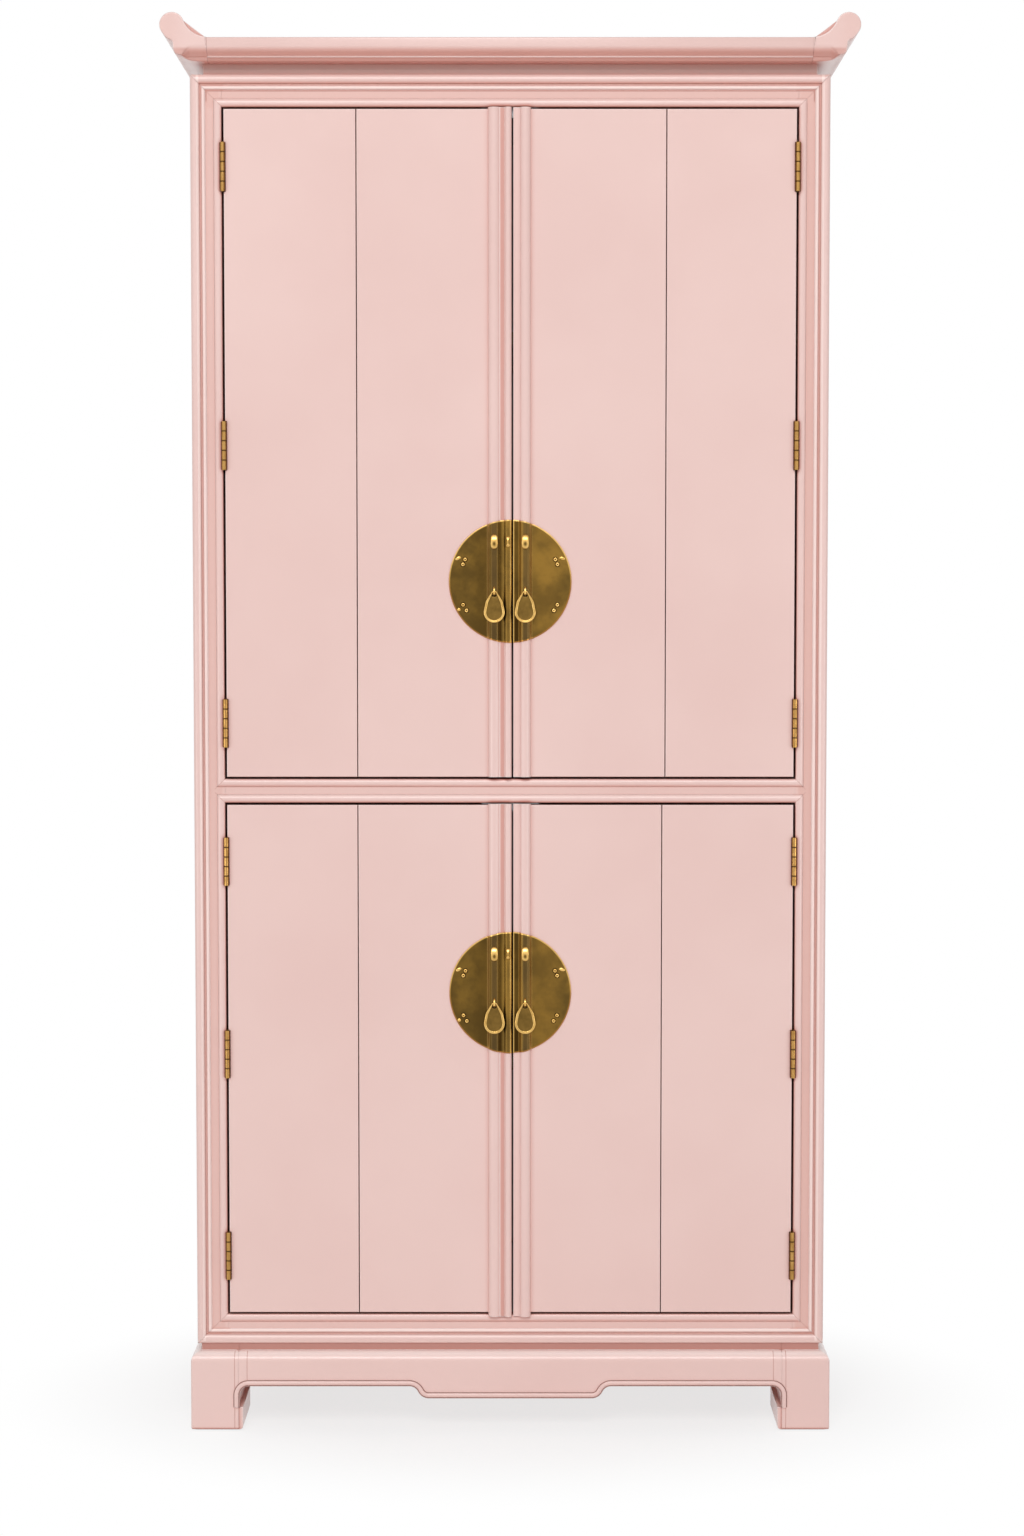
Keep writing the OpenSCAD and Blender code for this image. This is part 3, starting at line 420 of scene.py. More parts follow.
def hinge_brass_finish():
    """Drawn brass of the hinges: a dark ring between knuckles, and painted shade down both sides of
    the barrels.
    """
    f = Finish("hinge_brass", metallic=1.0)
    x, _, z = f.axes()
    fine = f.noise(300.0, 2.0, 0.6, f.stretched(1.0, 1.0, 0.15))
    f.tone = f.mix(fine.step(0.3, 0.75), paint(192, 150, 88), paint(160, 120, 64))
    along = (z - BUTT_Z[0] * MM).absolute()
    for middle in BUTT_Z[1:]:
        along = along.least((z - middle * MM).absolute())
    across = (x.absolute() - BUTT_X * MM).absolute()
    # painted shade down both sides of each barrel
    f.tint(across.rise(1.2, 3.6) * across.fall(4.9, 5.6) * 0.9, paint(98, 56, 28))
    ring = along.band(KNUCKLE * 0.5, 0.6, 0.9).most(along.band(KNUCKLE * 1.5, 0.6, 0.9))
    f.tint(ring * 0.9, paint(62, 36, 12))
    return f.set(roughness=fine.step(0.3, 0.7, 0.22, 0.34), normal=f.bump(fine - ring, 0.05))


def pale_wood_finish():
    """Clear satin timber with its grain along X."""
    f = Finish("pale_wood", coat_weight=0.15, coat_roughness=0.3)
    grain = f.noise(30.0, 4.0, 0.6, f.stretched(0.12, 1.0, 2.0))
    pores = f.noise(420.0, 2.0, 0.6, f.stretched(0.05, 1.0, 1.0))
    f.tone = f.mix(grain.step(0.3, 0.7), paint(206, 172, 128), paint(182, 142, 96))
    f.tint(pores.step(0.58, 0.8) * 0.5, paint(142, 104, 66))
    return f.set(roughness=grain.step(0.3, 0.7, 0.42, 0.52), normal=f.bump(pores, -0.08))


def steel_finish():
    """Zinc plated steel of the magnetic catches."""
    f = Finish("catch_steel", metallic=1.0)
    spangle = f.noise(160.0, 3.0, 0.6, f.stretched(0.2, 1.0, 1.0))
    f.tone = f.mix(spangle.step(0.3, 0.7), paint(186, 188, 190), paint(150, 152, 156))
    return f.set(roughness=spangle.step(0.3, 0.7, 0.3, 0.45), normal=f.bump(spangle, 0.04))


def felt_finish():
    """Dense dark felt under the feet."""
    f = Finish("felt")
    fibres = f.noise(900.0, 3.0, 0.7)
    f.tone = f.mix(fibres.step(0.3, 0.7), paint(70, 62, 56), paint(48, 42, 38))
    return f.set(roughness=fibres.step(0.3, 0.7, 0.85, 0.98), normal=f.bump(fibres, 0.3))


FINISHES = {
    "lacquer": lacquer_finish(),
    "quirked": lacquer_finish("pink_lacquer_quirk", quirked=True),
    "jointed": lacquer_finish("pink_lacquer_jointed", jointed=True),
    "door": lacquer_finish("pink_lacquer_door", door=True),
    "aged_brass": aged_brass_finish(),
    "polished_brass": rubbed_brass_and_painted_light_finish(),
    "hinge_brass": hinge_brass_finish(),
    "pale_wood": pale_wood_finish(),
    "catch_steel": steel_finish(),
    "felt": felt_finish(),
}
NODE_WORDS = {"plate": "aged_brass", "fittings": "polished_brass", "pull": "polished_brass",
              "hinges": "hinge_brass", "shelf_pins": "hinge_brass", "shelves": "pale_wood",
              "corner_blocks": "pale_wood", "catches": "catch_steel", "glides": "felt"}
JOINTED = ("left_stile", "right_stile", "top_rail", "mid_rail", "bottom_rail", "opening_beads",
           "front_feet", "front_apron", "side_aprons", "back_feet", "back_apron", "frieze_board")


def finish_of(name):
    """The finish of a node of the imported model, from its name."""
    if name in JOINTED:
        return FINISHES["jointed"]
    for word, kind in NODE_WORDS.items():
        if word in name:
            return FINISHES[kind]
    return FINISHES["door" if name.startswith(("upper_", "lower_")) else "lacquer"]


for name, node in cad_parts.items():
    node.data.materials.clear()
    node.data.materials.append(finish_of(name))


# Shapes

def grid_faces(rows, cols, wrap=False):
    """Quads of a grid of points numbered row by row; wrap joins the last column to the first."""
    i = np.arange(rows - 1)[:, None]
    j = np.arange(cols if wrap else cols - 1)[None, :]
    k = (j + 1) % cols
    corners = [i * cols + j, (i + 1) * cols + j, (i + 1) * cols + k, i * cols + k]
    return np.stack(corners, -1).reshape(-1, 4)


def closed_skin(sections):
    """Skin over rows of closed sections: quads between neighbours, one polygon over each end."""
    rows, cols = sections.shape[:2]
    last = (rows - 1) * cols
    return sections.reshape(-1, 3), [*grid_faces(rows, cols, True).tolist(),
                                     list(range(cols))[::-1], list(range(last, last + cols))]


def open_skin(grid):
    """Skin over a grid of points, open round its edge."""
    rows, cols = grid.shape[:2]
    return grid.reshape(-1, 3), grid_faces(rows, cols).tolist()


def put(name, data):
    """A new object in the scene."""
    made = bpy.data.objects.new(name, data)
    bpy.context.scene.collection.objects.link(made)
    return made


def piece(name, body, slot, skins, stands_for, sharp, finish=None, marks=None):
    """One object out of several skins: doubled points merged, faces outwards, smooth but for edges
    sharper than sharp degrees.

    marks holds one number a point, kept in the mesh as the attribute "mark" for the finish.
    """
    start = np.cumsum([0] + [len(points) for points, _ in skins])
    points = np.concatenate([points for points, _ in skins])
    faces = [[v + first for v in face] for first, (_, rows) in zip(start, skins) for face in rows]
    mesh = bpy.data.meshes.new(name)
    mesh.from_pydata(points.tolist(), [], faces)
    if marks is not None:
        kept = mesh.attributes.new("mark", "FLOAT", "POINT")
        kept.data.foreach_set("value", np.asarray(marks, np.float32))
    b = bmesh.new()
    b.from_mesh(mesh)
    bmesh.ops.remove_doubles(b, verts=b.verts, dist=1e-6)
    bmesh.ops.dissolve_degenerate(b, edges=b.edges, dist=1e-7)
    bmesh.ops.recalc_face_normals(b, faces=b.faces)
    b.to_mesh(mesh)
    b.free()
    mesh.shade_smooth()
    mesh.set_sharp_from_angle(angle=math.radians(sharp))
    mesh.materials.append(finish or FINISHES[slot])
    made = put(name, mesh)
    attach(made, body)
    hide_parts(*stands_for)


def inset(outline, by):
    """A closed outline of points (n, 2), running anticlockwise, moved inwards along its normals."""
    along = np.roll(outline, -1, 0) - np.roll(outline, 1, 0)
    along /= np.maximum(np.linalg.norm(along, axis=1, keepdims=True), 1e-9)
    return outline + by * np.stack([-along[:, 1], along[:, 0]], 1)


def spline(knots, each=8):
    """Catmull-Rom curve through the knots, each steps to a span."""
    k = np.asarray(knots, float)
    k = np.vstack([2 * k[0] - k[1], k, 2 * k[-1] - k[-2]])
    t = (np.arange(each) / each)[None, :, None]
    p0, p1, p2, p3 = (k[i:len(k) - 3 + i, None, :] for i in range(4))
    curve = 0.5 * (2 * p1 + (p2 - p0) * t + (2 * p0 - 5 * p1 + 4 * p2 - p3) * t**2
                   + (3 * p1 - p0 - 3 * p2 + p3) * t**3)
    return np.vstack([curve.reshape(-1, 2), k[-2:-1]])


def arc(x, z, r, start, end, n):
    """n points of a circle about (x, z), by angle in degrees."""
    a = np.radians(np.linspace(start, end, n))
    return np.stack([x + r * np.cos(a), z + r * np.sin(a)], 1)


# Cap and wings, in millimetres: depth is counted from the front face of the cap

CAP_FRONT, CAP_LOW, CAP_TOP, CAP_DEEP = -300.0, 2163.0, 2197.0, 600.0
JOINT = 471.0  # where the wings meet the cap, either side
OGEE_TOP, OGEE_TALL = 21.4, 15  # its top above the cap's underside, and its own height
MOULD_DEEP = 21.6  # where the moulding ends and the flat underside begins
HOLLOW_DEEP = 8.0  # the front of a wing is hollowed as far back as this


def ogee_points():
    """Points (depth, height) of the ogee under the cap's face.

    Its slope away from upright turns as a sine, up to 56 degrees and back to 47.
    """
    slope = math.radians(56) * np.sin(0.68 * np.pi * np.linspace(0, 1, 40))
    deep, high = np.cumsum(np.sin(slope)), np.cumsum(np.cos(slope))
    return deep / high[-1] * OGEE_TALL, OGEE_TOP - high / high[-1] * OGEE_TALL


OGEE = ogee_points()
OGEE_DEEP = OGEE[0][-1]


def underside(depth, fillet, top):
    """Height of the underside above its lowest line: the ogee, and behind it half a cosine wave.

    The wave starts fillet behind the ogee, top high, and falls to nothing at MOULD_DEEP.
    """
    t = np.clip((depth - OGEE_DEEP - fillet) / (MOULD_DEEP - fillet - OGEE_DEEP), 0, 1)
    fall = top / 2 * (1 + np.cos(np.pi * t))
    return np.where(depth <= OGEE_DEEP, np.interp(depth, *OGEE), fall)


def cap_section():
    """Closed section of the cap in (depth, height), its top front arris rounded to 3."""
    low = np.concatenate([OGEE[0][::2], [OGEE_DEEP, OGEE_DEEP + 0.01],
                          np.linspace(OGEE_DEEP + 1, MOULD_DEEP, 10)])
    under = np.stack([low, CAP_LOW + underside(low, 1, 4.6)], 1)
    back = [[CAP_DEEP, CAP_LOW], [CAP_DEEP, CAP_TOP]]
    return np.vstack([under, back, arc(3, CAP_TOP - 3, 3, 90, 180, 8)])


def make_cap():
    """The section carried from joint to joint, drawn in by 0.7 at both ends to show the joints."""
    section = cap_section()
    stations = [(-JOINT, 0.7), (-JOINT + 0.25, 0.25), (-JOINT + 0.7, 0), (0, 0),
                (JOINT - 0.7, 0), (JOINT - 0.25, 0.25), (JOINT, 0.7)]
    rows = [np.column_stack([np.full(len(section), x), inset(section, by) + [CAP_FRONT, 0]])
            for x, by in stations]
    piece("cap_board", "root", "lacquer", [closed_skin(np.array(rows) * MM)], ["top_cap"], 40)


def wing_outline(hollowed):
    """Closed outline of the right wing in (x, z): swept underside, notch, scroll, and the top.

    The top is the hollow, an arc of radius 40, or else the straight slope behind it.
    """
    under = spline([[JOINT, 2163], [480, 2163], [498, 2164.3], [510.9, 2169.05], [519.7, 2171.8],
                    [522.6, 2178.9], [523.3, 2185], [523.7, 2189.6]])
    notch = spline([[523.7, 2189.6], [526.6, 2192.8], [533, 2195.9], [538.4, 2202.3]])
    scroll = arc(524.8, 2215.9, 19.2, -45, 159.2, 40)
    x = np.linspace(scroll[-1, 0], JOINT, 24)[1:]
    if hollowed:
        z = 2237 - np.sqrt(40**2 - np.clip(x - 469.2, 0, 39.9) ** 2)
    else:
        z = np.interp(x, [JOINT + 1.5, scroll[-1, 0]], [CAP_TOP, scroll[-1, 1]])
    return np.vstack([under[:-1], notch[:-1], scroll, np.stack([x, z], 1)])


def make_wing(side):
    """Outlines one behind the other: a rounded arris, the moulding and the hollow, then the slope.

    t runs from 0 to 1 between 26 and 48 beyond the joint, and the moulding under the wing dies
    out there as 1 - 3t^2 + 2t^3.
    """
    hollow, slope = wing_outline(True), wing_outline(False)
    depths = np.concatenate([[0, 0, 0.12, 0.4, 0.9], np.linspace(1.5, 7.4, 8),
                             [7.8, HOLLOW_DEEP, HOLLOW_DEEP + 0.01],
                             np.linspace(8.4, MOULD_DEEP, 22),
                             [60, 300, 540, CAP_DEEP - 0.5, CAP_DEEP, CAP_DEEP]])
    drawn = np.interp(depths, [0, 0.12, 0.4, 0.9, CAP_DEEP - 0.5, CAP_DEEP],
                      [1.2, 0.75, 0.35, 0, 0, 0.5])
    drawn[[0, -1]] = 2.2, 1.5
    rows = []
    for depth, by in zip(depths, drawn):
        edge = inset(hollow if depth <= HOLLOW_DEEP else slope, by)
        t = np.clip((edge[:, 0] - JOINT - 26) / 22, 0, 1)
        moulding = underside(depth, 0, 6.4) * (1 - 3 * t**2 + 2 * t**3)
        z = np.maximum(edge[:, 1], CAP_LOW + moulding + by)
        rows.append(np.stack([edge[:, 0], np.full(len(z), CAP_FRONT + depth), z], 1))
    skin = np.array(rows) * MM * [side, 1, 1]
    name = SIDES[side]
    piece(name + "_scroll_wing", "root", "lacquer", [closed_skin(skin)], [name + "_wing"], 40)


# Bead round the aprons and down the legs, in millimetres

HALF = 3.5  # half its width; it follows the edges of the aprons and the legs
BASE_FRONT, BASE_SIDE = -285.8, 509.8  # the faces it lies on
DROP_LOW, DROP_RISE, DROP_R = 54.4, 19.6, 17.2  # the front apron's drop and the radius of its ogee
DROP_END = 130  # where the ogee begins, either side of the middle
RUN_END = 416  # and where the straight run beside it ends
LEG_X = 433.8  # the edge of the front legs, either side
SIDE_OPENING = (110.2, 456)  # from leg to leg along a side, behind the face
LEG_R = 16.0  # the rounding between an apron and a leg
LEG_KNEE, LEG_LOW = 50, 38.2  # heights on its way down a leg
UPPER_QUIRK = ((5.3, -0.3, 0), (5.2, 0.06, 0.2), (4.0, 0.06, 1), (3.6, 0.06, 1))
LOWER_QUIRK = ((-3.6, 0.06, 1), (-4.2, 0.06, 1), (-5.0, 0.06, 0.2), (-5.1, -0.3, 0))


def leg_path(edge):
    """The bead's line in (x, z) round the corner into a leg with that edge, and down it."""
    r = LEG_R + HALF
    corner = arc(edge + HALF - r, DROP_LOW + DROP_RISE + HALF - r, r, 90, 0, 14)
    return np.vstack([corner, [[edge + HALF, LEG_KNEE], [edge + HALF, LEG_LOW]]])


def front_path():
    """Half the line of the front bead, in (x, z), from the flat of the drop to the foot."""
    rise = 2 * DROP_R - DROP_RISE
    span = math.sqrt(4 * DROP_R**2 - rise**2)
    turn = math.degrees(math.atan2(rise, span))
    low, high = DROP_LOW + HALF, DROP_LOW + DROP_RISE + HALF
    return np.vstack([[[DROP_END - 1, low]],
                      arc(DROP_END, DROP_LOW + DROP_R, DROP_R - HALF, -90, -turn, 10),
                      arc(DROP_END + span, high - DROP_R - HALF, DROP_R + HALF, 180 - turn, 90, 10),
                      [[RUN_END, high]], leg_path(LEG_X)])


def bead_skin(half_path, place):
    """A half round 7 wide and 2.4 high, with a thin quirk drawn along both its sides.

    It runs along half_path and its mirror image. place turns (along the face, height,
    proud of the face) into points; the quirk's points are marked 1 for painted shade, and the
    crown's edges in part.
    """
    path = np.vstack([(half_path * [-1, 1])[::-1], half_path])[::-1]
    along = np.gradient(path, axis=0)
    along /= np.linalg.norm(along, axis=1, keepdims=True)
    out = np.stack([-along[:, 1], along[:, 0]], 1)
    a = np.radians(np.linspace(0, 180, 13))
    crown = np.stack([HALF * np.cos(a), 0.1 + 2.3 * np.sin(a) ** 0.8,
                      np.clip(0.9 - 2.2 * np.sin(a), 0, 1)], 1)
    across, proud, mark = np.vstack([UPPER_QUIRK, crown, LOWER_QUIRK]).T
    flat = path[:, None, :] + out[:, None, :] * across[None, :, None]
    points = place(flat[..., 0], flat[..., 1], np.broadcast_to(proud, flat.shape[:2]))
    return closed_skin(points * MM), np.tile(mark, len(path))


def make_beads():
    """Front run both ways from the middle, and one run along each side."""
    near, far = SIDE_OPENING
    middle, leg = (near + far) / 2 + FACE, leg_path((far - near) / 2)
    skins, marks = zip(
        bead_skin(front_path(), lambda a, z, out: np.stack([a, BASE_FRONT - out, z], -1)),
        bead_skin(leg, lambda a, z, out: np.stack([BASE_SIDE + out, middle + a, z], -1)),
        bead_skin(leg, lambda a, z, out: np.stack([-BASE_SIDE - out, middle - a, z], -1)))
    piece("base_bead", "root", "lacquer", skins, ["apron_beads"], 50, FINISHES["quirked"],
          np.concatenate(marks))


# Brass, in millimetres from the middle of a plate; front faces -Y, and 0 is the face frame's crest

EDGE = {-1: 2.2, 1: 4.8}  # where the two half plates end, either side of the meeting edge
BEAD = {-1: (-25.15, 10.064, 9.85), 1: (23.65, 9.119, 9.05)}  # outer bead: middle, radius, half
SMALL_BEAD = (-3.4, 5.6)  # the second bead of the left moulding: middle, radius
DOOR_Y, CREST_Y, GROOVE_Y, FLAT_Y = 1.5, -6.5, -2.5, -0.5  # door, crests, left groove, right flat
SHEET_OUT, SHEET_THICK = 1.2, 0.9  # front of the sheet above the moulding, and its thickness
PRESSED = 42  # the moulding shows in the sheet as far out as this


def moulded_front(side, x, proud):
    """Front of the door and its meeting moulding, moved out by proud: beads, groove or flat."""
    centre, r, half = BEAD[side]

    def bead(middle, radius, reach):
        """A circle of that radius with its crest at CREST_Y, cut off at reach, moved out."""
        d = np.abs(x - middle)
        drop = np.sqrt(np.clip((radius + proud) ** 2 - d**2, 0, None))
        return np.where(d < reach + proud, CREST_Y + radius - drop, 9.0)

    y = np.minimum(np.full_like(x, DOOR_Y - proud), bead(centre, r, half))
    if side < 0:
        inner, small = SMALL_BEAD
        y = np.where((x > centre) & (x < inner), np.minimum(y, GROOVE_Y - proud), y)
        return np.minimum(y, bead(inner, small, small))
    return np.where(x < centre, np.minimum(y, FLAT_Y - proud), y)


def make_plate(level, side):
    """Half disc of sheet pressed over the moulding, with soft bends and a rolled rim.

    Columns follow X and stand closer at the rim; rows run up and down each chord. Depth is the
    moulding's front blurred by 0.8, and the last 2.2 of the radius falls back by up to 0.2, as
    the square of the way out.
    """
    r, step = PLATE_R, 0.2
    fine = np.arange(-110, 110.01, step)
    kernel = np.exp(-0.5 * (np.arange(-3, 3.01, step) / 0.8) ** 2)
    raw = np.pad(moulded_front(side, fine, SHEET_OUT), len(kernel) // 2, mode="edge")
    soft = np.convolve(raw, kernel / kernel.sum(), "valid")
    outwards = 1 - np.sin(np.linspace(0, np.pi / 2, 26))
    x = np.concatenate([np.linspace(EDGE[side], side * PRESSED, 90)[:-1],
                        side * (r - (r - PRESSED) * outwards)])
    v = np.sin(np.linspace(-np.pi / 2, np.pi / 2, 61))
    gz = np.sqrt(np.clip(r * r - x * x, 0, None))[:, None] * v
    gx = np.broadcast_to(x[:, None], gz.shape)
    roll = 0.2 * np.clip((np.hypot(gx, gz) - (r - 2.2)) / 2.2, 0, 1) ** 2
    front = np.stack([gx, np.interp(x, fine, soft)[:, None] + roll, gz], -1)
    front = front + [0, FACE, PLATE_Z[level]]
    through = [0, SHEET_THICK, 0]
    rim = np.vstack([front[:, 0], front[-1], front[::-1, -1], front[0, ::-1]])
    back_points, back_faces = open_skin((front + through) * MM)
    name = f"{level}_{SIDES[side]}"
    piece(f"{name}_half_plate", f"{name}_inner", "aged_brass",
          [open_skin(front * MM), (back_points, [f[::-1] for f in back_faces]),
           open_skin(np.stack([rim, rim + through]) * MM)], [f"{name}_plate"], 45)


def dome(x, z, y, profile, stretch=(1.0, 1.0), turn=0.0):
    """A turned head: the profile of (radius, height, mark) spun about a line along Y.

    It is stretched along its own two axes, and then turned.
    """
    a = np.linspace(0, 2 * np.pi, 20, endpoint=False)
    r, h, mark = np.array(profile).T
    u, w = r[:, None] * np.cos(a) * stretch[0], r[:, None] * np.sin(a) * stretch[1]
    c, s = math.cos(turn), math.sin(turn)
    skin = np.stack([x + u * c - w * s, np.broadcast_to(y - h[:, None], u.shape),
                     z + u * s + w * c], -1)
    return closed_skin(skin), np.repeat(mark, len(a))


ARCH = np.radians(np.linspace(-104, 104, 41))  # sections of an arch, by angle up from its crown


def arch(x, z, y, radius, half_width, half_thick, groove=0.0, rise=1.0):
    """Half ring, or half ellipse where rise isn't 1, standing out of the plate in Y and Z.

    The section is a rounded oblong, its half sizes one number or one for each angle of ARCH. The
    crown side has a shallow groove along its middle, a bell curve in both directions, marked dull
    as painted shade; the marks grow brighter towards the top as a painted highlight.
    """
    angle = ARCH[:, None]
    around = np.linspace(0, 2 * np.pi, 28, endpoint=False)
    c, s = np.cos(around), np.sin(around)
    w, t = (np.broadcast_to(half, ARCH.shape)[:, None] for half in (half_width, half_thick))
    across = w * np.sign(c) * np.abs(c) ** 0.7
    dip = np.exp(-(across / 2.4) ** 2 - ((np.degrees(angle) + 17) / 19) ** 2) * (s > 0.3)
    out = radius + t * np.sign(s) * np.abs(s) ** 0.7 - groove * dip
    skin = np.stack([x + across, y - rise * out * np.cos(angle), z + out * np.sin(angle)], -1)
    # marks: painted highlight brighter towards the top, painted shade in the groove
    shine = 0.9 + 0.1 * np.sin(angle) - (groove > 0) * 0.9 * dip
    return closed_skin(skin), shine.ravel()


# Half width of the lock staple: 5.4, closing to a half circle over each end of its 23.6 height
CAPSULE = np.sqrt(np.clip(5.4**2 - np.clip(np.abs(11.8 * np.sin(ARCH)) - 7.4, 0, 5) ** 2, 6, None))
# Half width of the small staple: a knob at either end, thin at the crown
KNOBS = 0.9 + 2.3 * np.clip(np.sin(ARCH) ** 2 * 2 - 0.5, 0, 1) ** 0.6
# Half width of the pull's eye, growing downwards
LOOP = 1.75 + np.clip(-np.sin(ARCH), 0, 1) ** 2
STAPLE_Z, EYE_Z = 62, -15.3
RIVETS = ((71, 34.5), (74.4, 26.8), (74.2, -36.7), (68.8, -45.6))
# Rivet heads (radius, height, mark): painted shadow round the foot, painted highlight on the crown,
# darker in the dimple
HEAD = ((4.1, -0.6, -1), (4.1, 0.1, -1), (3.5, 0.15, -1), (3.3, 0.6, 0), (3.05, 1.2, 0.9),
        (2.5, 1.8, 1), (1.9, 2.1, 1), (1.4, 2.05, 0.9), (0.95, 1.4, -0.3), (0.5, 1.0, -0.5),
        (0, 0.95, -0.5))
# Rim clips (radius, height, mark), with a painted highlight on the crown
CLIP = ((1.0, -0.6, 0.2), (1.0, 0.5, 0.6), (0.8, 1.0, 1), (0.45, 1.35, 1), (0, 1.45, 0.6))
CLIPS = {  # (across, up, half sizes, turn) of the clips near the rim
    -1: ((-82, 36.4, (4.6, 2.7), 0.5), (-80.8, -44.2, (2.8, 2.8), 0.0)),
    1: ((82, 36.4, (4.6, 2.7), -0.3),),
}
SMALL_STAPLE = (-3.6, STAPLE_Z, CREST_Y, 5.8)  # across, up, depth, radius


def make_fittings(level, side):
    """Lock staple, pull eye, rivets and rim clips of one half plate, and the small staple."""
    x, face, crest = BEAD[side][0], DOOR_Y - SHEET_OUT, CREST_Y - SHEET_OUT
    parts = [arch(x, STAPLE_Z, crest, 9.3, CAPSULE, 2.5, 1.3, 0.55),
             arch(x, EYE_Z, crest, 5.3, LOOP, 1.8)]
    if side < 0:
        parts.append(arch(*SMALL_STAPLE, KNOBS, 1.2 + 1.8 * np.sin(ARCH) ** 4, rise=0.7))
    parts += [dome(side * across, up, face, HEAD) for across, up in RIVETS]
    parts += [dome(across, up, face, CLIP, size, turn) for across, up, size, turn in CLIPS[side]]
    place = np.array([0, FACE, PLATE_Z[level]])
    name = f"{level}_{SIDES[side]}"
    piece(f"{name}_staples_and_rivets", f"{name}_inner", "polished_brass",
          [((points + place) * MM, faces) for (points, faces), _ in parts], [f"{name}_fittings"],
          50, marks=np.concatenate([mark for _, mark in parts]))


PULL_OUT, PULL_DOWN = -9.7, -16.0  # where the pulls turn, from the face and the plate's middle
PULL_CIRCLES = ((-3.6, 5.0), (-20.6, 14.2), (-32.5, 16.5))  # (height, radius)
HOLE, HOLE_R = np.array([0, -4.7]), 4.2
# The marks make the rim and its inner bead bright, as rubbed brass with a painted highlight, and
# leave the dished face dull.
PULL_RINGS = (  # (inwards from the outline, depth, share of the hole's edge, mark)
    (0, 0.7, 0, 0.2), (0, -0.5, 0, 0.6), (0.3, -1.0, 0, 0.8), (0.9, -1.36, 0, 0.8),
    (1.6, -1.38, 0, 0.7), (2.3, -1.12, 0, 0.55), (2.7, -1.1, 0, 0.6), (3.1, -1.25, 0, 1),
    (3.5, -1.2, 0, 1), (3.8, -0.85, 0, 0.5), (4.1, -0.55, 0, 0), (4.6, -0.5, 0, 0),
    (4.6, -0.5, 0.5, 0), (4.6, -0.5, 0.96, 0.2), (4.6, -0.3, 1, 0.3), (4.6, 1.2, 1, 0),
    (4.6, 1.4, 0.5, 0), (0.8, 1.4, 0, 0.4), (0.2, 1.15, 0, 0.5), (0, 0.7, 0, 0.2))


def make_pull(level, side):
    """Teardrop with a rolled rim, a fine bead inside it, a dished face and a hole for the eye.

    The outline goes round the circles of PULL_CIRCLES; in each direction it lies on the one that
    reaches furthest. Each ring of points is that outline moved inwards, or the edge of the hole
    where the hole comes first, and blends over to the hole's edge by its share.
    """
    normal = np.radians(np.linspace(0, 360, 120, endpoint=False) - 90)
    n = np.stack([np.cos(normal), np.sin(normal)], 1)
    circles = np.array(PULL_CIRCLES)
    furthest = np.argmax(n[:, 1:] * circles[:, 0] + circles[:, 1], axis=1)
    height, radius = circles[furthest].T

    def ring(inwards, y, share):
        p = (radius - inwards)[:, None] * n + np.stack([0 * height, height], 1)
        gap = p - HOLE
        far = np.linalg.norm(gap, axis=1, keepdims=True)
        p = np.where(far < HOLE_R, HOLE + gap / np.maximum(far, 1e-6) * HOLE_R, p)
        p = p * (1 - share) + (HOLE + HOLE_R * n) * share
        return np.stack([p[:, 0], np.full(len(p), y), p[:, 1]], 1)

    rows = np.array([ring(*numbers) for *numbers, _ in PULL_RINGS])
    place = np.array([BEAD[side][0], FACE + PULL_OUT, PLATE_Z[level] + PULL_DOWN])
    skin = ((rows + place) * MM).reshape(-1, 3), grid_faces(len(rows), len(n), True).tolist()
    name = f"{level}_{SIDES[side]}"
    piece(f"{name}_teardrop", f"{name}_pull", "polished_brass", [skin], [f"{name}_pull"], 60,
          marks=np.repeat([mark for *_, mark in PULL_RINGS], len(n)))


make_cap()
make_beads()
for side in SIDES:
    make_wing(side)
    for level in PLATE_Z:
        make_plate(level, side)
        make_fittings(level, side)
        make_pull(level, side)


# Room

WORLD_LIGHT = 0.3
FLOOR_HALF = 8
SHADOW_X, SHADOW_Y = 0.85, 0.62  # half axes of the floor round the base that shows its shadow
LENS, SENSOR = 67.97, 36.0
CAMERA_AT, LOOK_DOWN = (0.0028, -4.8514, 1.3232), 3.2867  # the camera, and its pitch in degrees
LAMPS = (  # (name, place, aim, width, height, watts)
    ("key_box", (-0.8, -9.0, 7.2), (0, -0.25, 0.7), 6.0, 4.0, 560),
    ("left_box", (-4.2, -3.6, 0.7), (0, -0.25, 0.5), 1.8, 1.3, 30),
    ("right_box", (4.2, -3.6, 0.7), (0, -0.25, 0.5), 1.8, 1.3, 29),
)


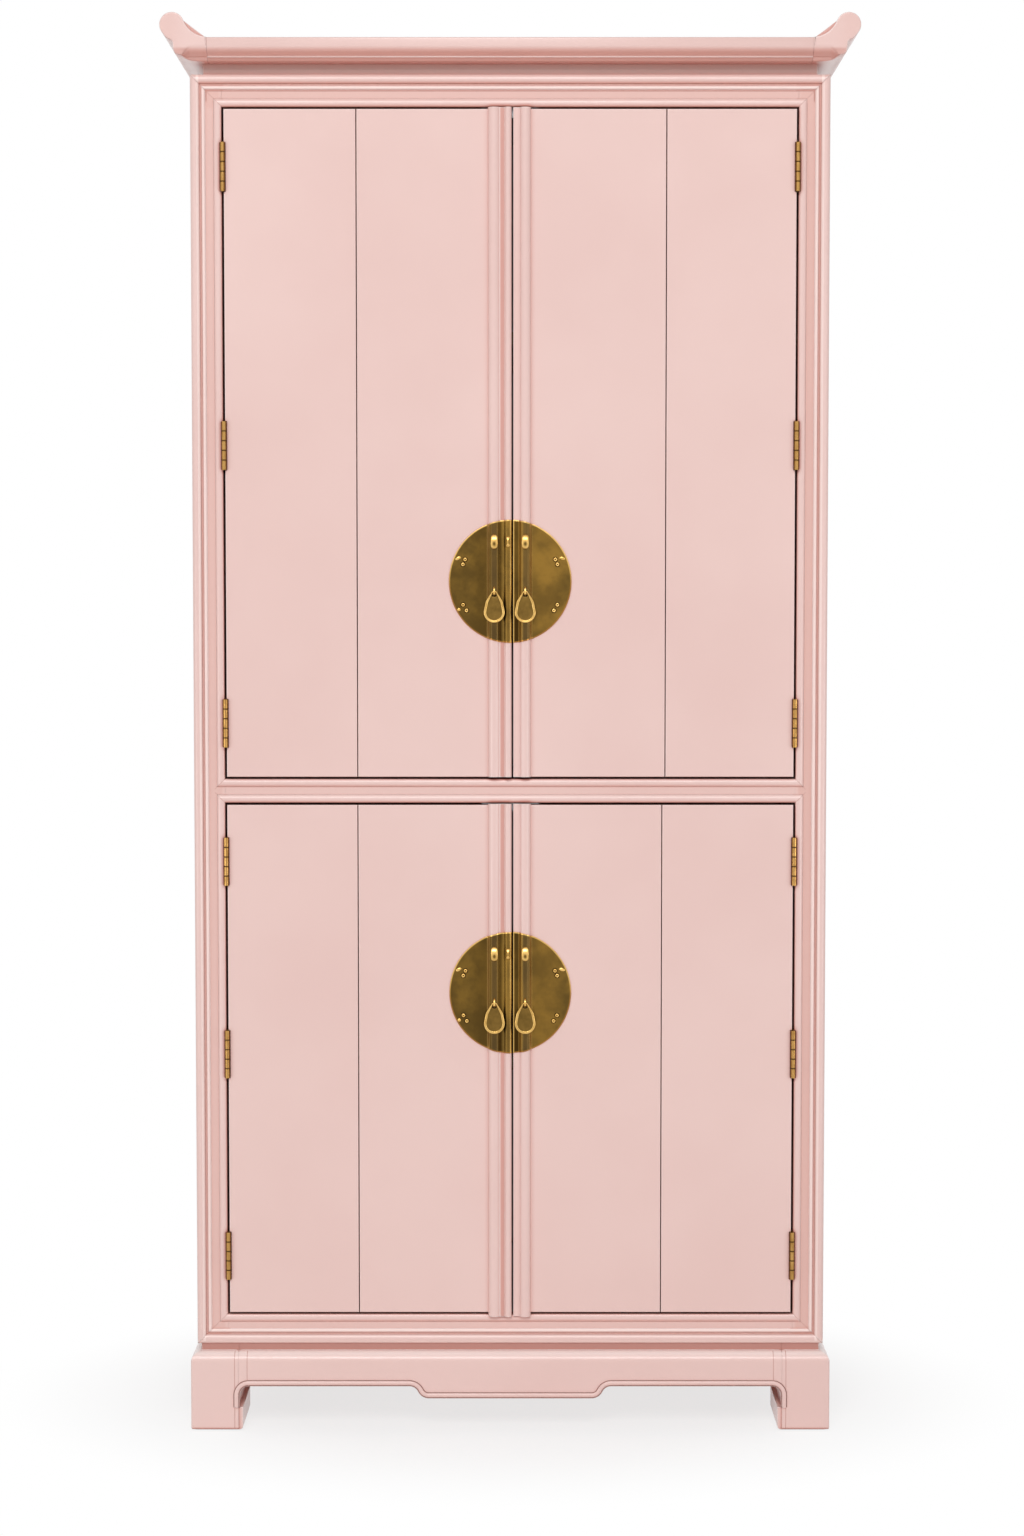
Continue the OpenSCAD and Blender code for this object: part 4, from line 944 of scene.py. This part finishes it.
def floor_finish():
    """White paper sweep: it takes the soft shadow near the armoire, and fades to plain white."""
    f = Finish("paper_sweep", roughness=0.9)
    x, y, _ = f.axes()
    f.tone = f.mix(f.noise(3.0).step(0.3, 0.7), paint(244, 244, 244), paint(241, 241, 241))
    f.set(specular_ior_level=0.1)
    away = ((x / SHADOW_X) ** 2 + ((y + 0.05) / SHADOW_Y) ** 2) ** 0.5
    f.show_white(away.step(0.45, 1.05, 0.74, 1.0), f.shader, "ShaderNodeEmission",
                 "Material Output")
    return f.material


def make_floor():
    """A flat square, 16 m across, in the plane of the glides' undersides."""
    x, y = np.meshgrid(*[np.linspace(-FLOOR_HALF, FLOOR_HALF, 9)] * 2, indexing="ij")
    points, faces = open_skin(np.stack([x, y, np.zeros_like(x)], -1))
    mesh = bpy.data.meshes.new("floor")
    mesh.from_pydata(points.tolist(), [], faces)
    mesh.materials.append(floor_finish())
    floor = put("floor", mesh)


def make_world():
    """Even pale light all round; where it is seen as the background, it is plain white."""
    world = bpy.data.worlds.new("studio")
    bpy.context.scene.world = world
    world.use_nodes = True
    graph = Graph(world.node_tree)
    even = graph.tree.nodes["Background"]
    graph.feed(even, {"Color": WHITE, "Strength": WORLD_LIGHT})
    graph.show_white(1.0, even, "ShaderNodeBackground", "World Output")


def make_lamp(name, place, aim, width, height, watts):
    """A rectangular lamp at place, turned to look at aim."""
    lamp = bpy.data.lights.new(name, "AREA")
    lamp.shape, lamp.size, lamp.size_y = "RECTANGLE", width, height
    lamp.energy = watts
    ray = np.array(aim) - np.array(place)
    box = put(name, lamp)
    box.location = place
    box.rotation_euler = (math.atan2(math.hypot(ray[0], ray[1]), -ray[2]), 0,
                          math.atan2(-ray[0], ray[1]))


def make_camera():
    """In front of the doors, 4.6 m away, looking straight back and a little down."""
    camera = put("camera", bpy.data.cameras.new("camera"))
    camera.data.lens, camera.data.sensor_width = LENS, SENSOR
    camera.location = CAMERA_AT
    camera.rotation_euler = (math.radians(90 - LOOK_DOWN), 0, 0)
    bpy.context.scene.camera = camera


make_floor()
make_world()
for lamp in LAMPS:
    make_lamp(*lamp)
make_camera()
bpy.context.scene.view_settings.view_transform = "Standard"
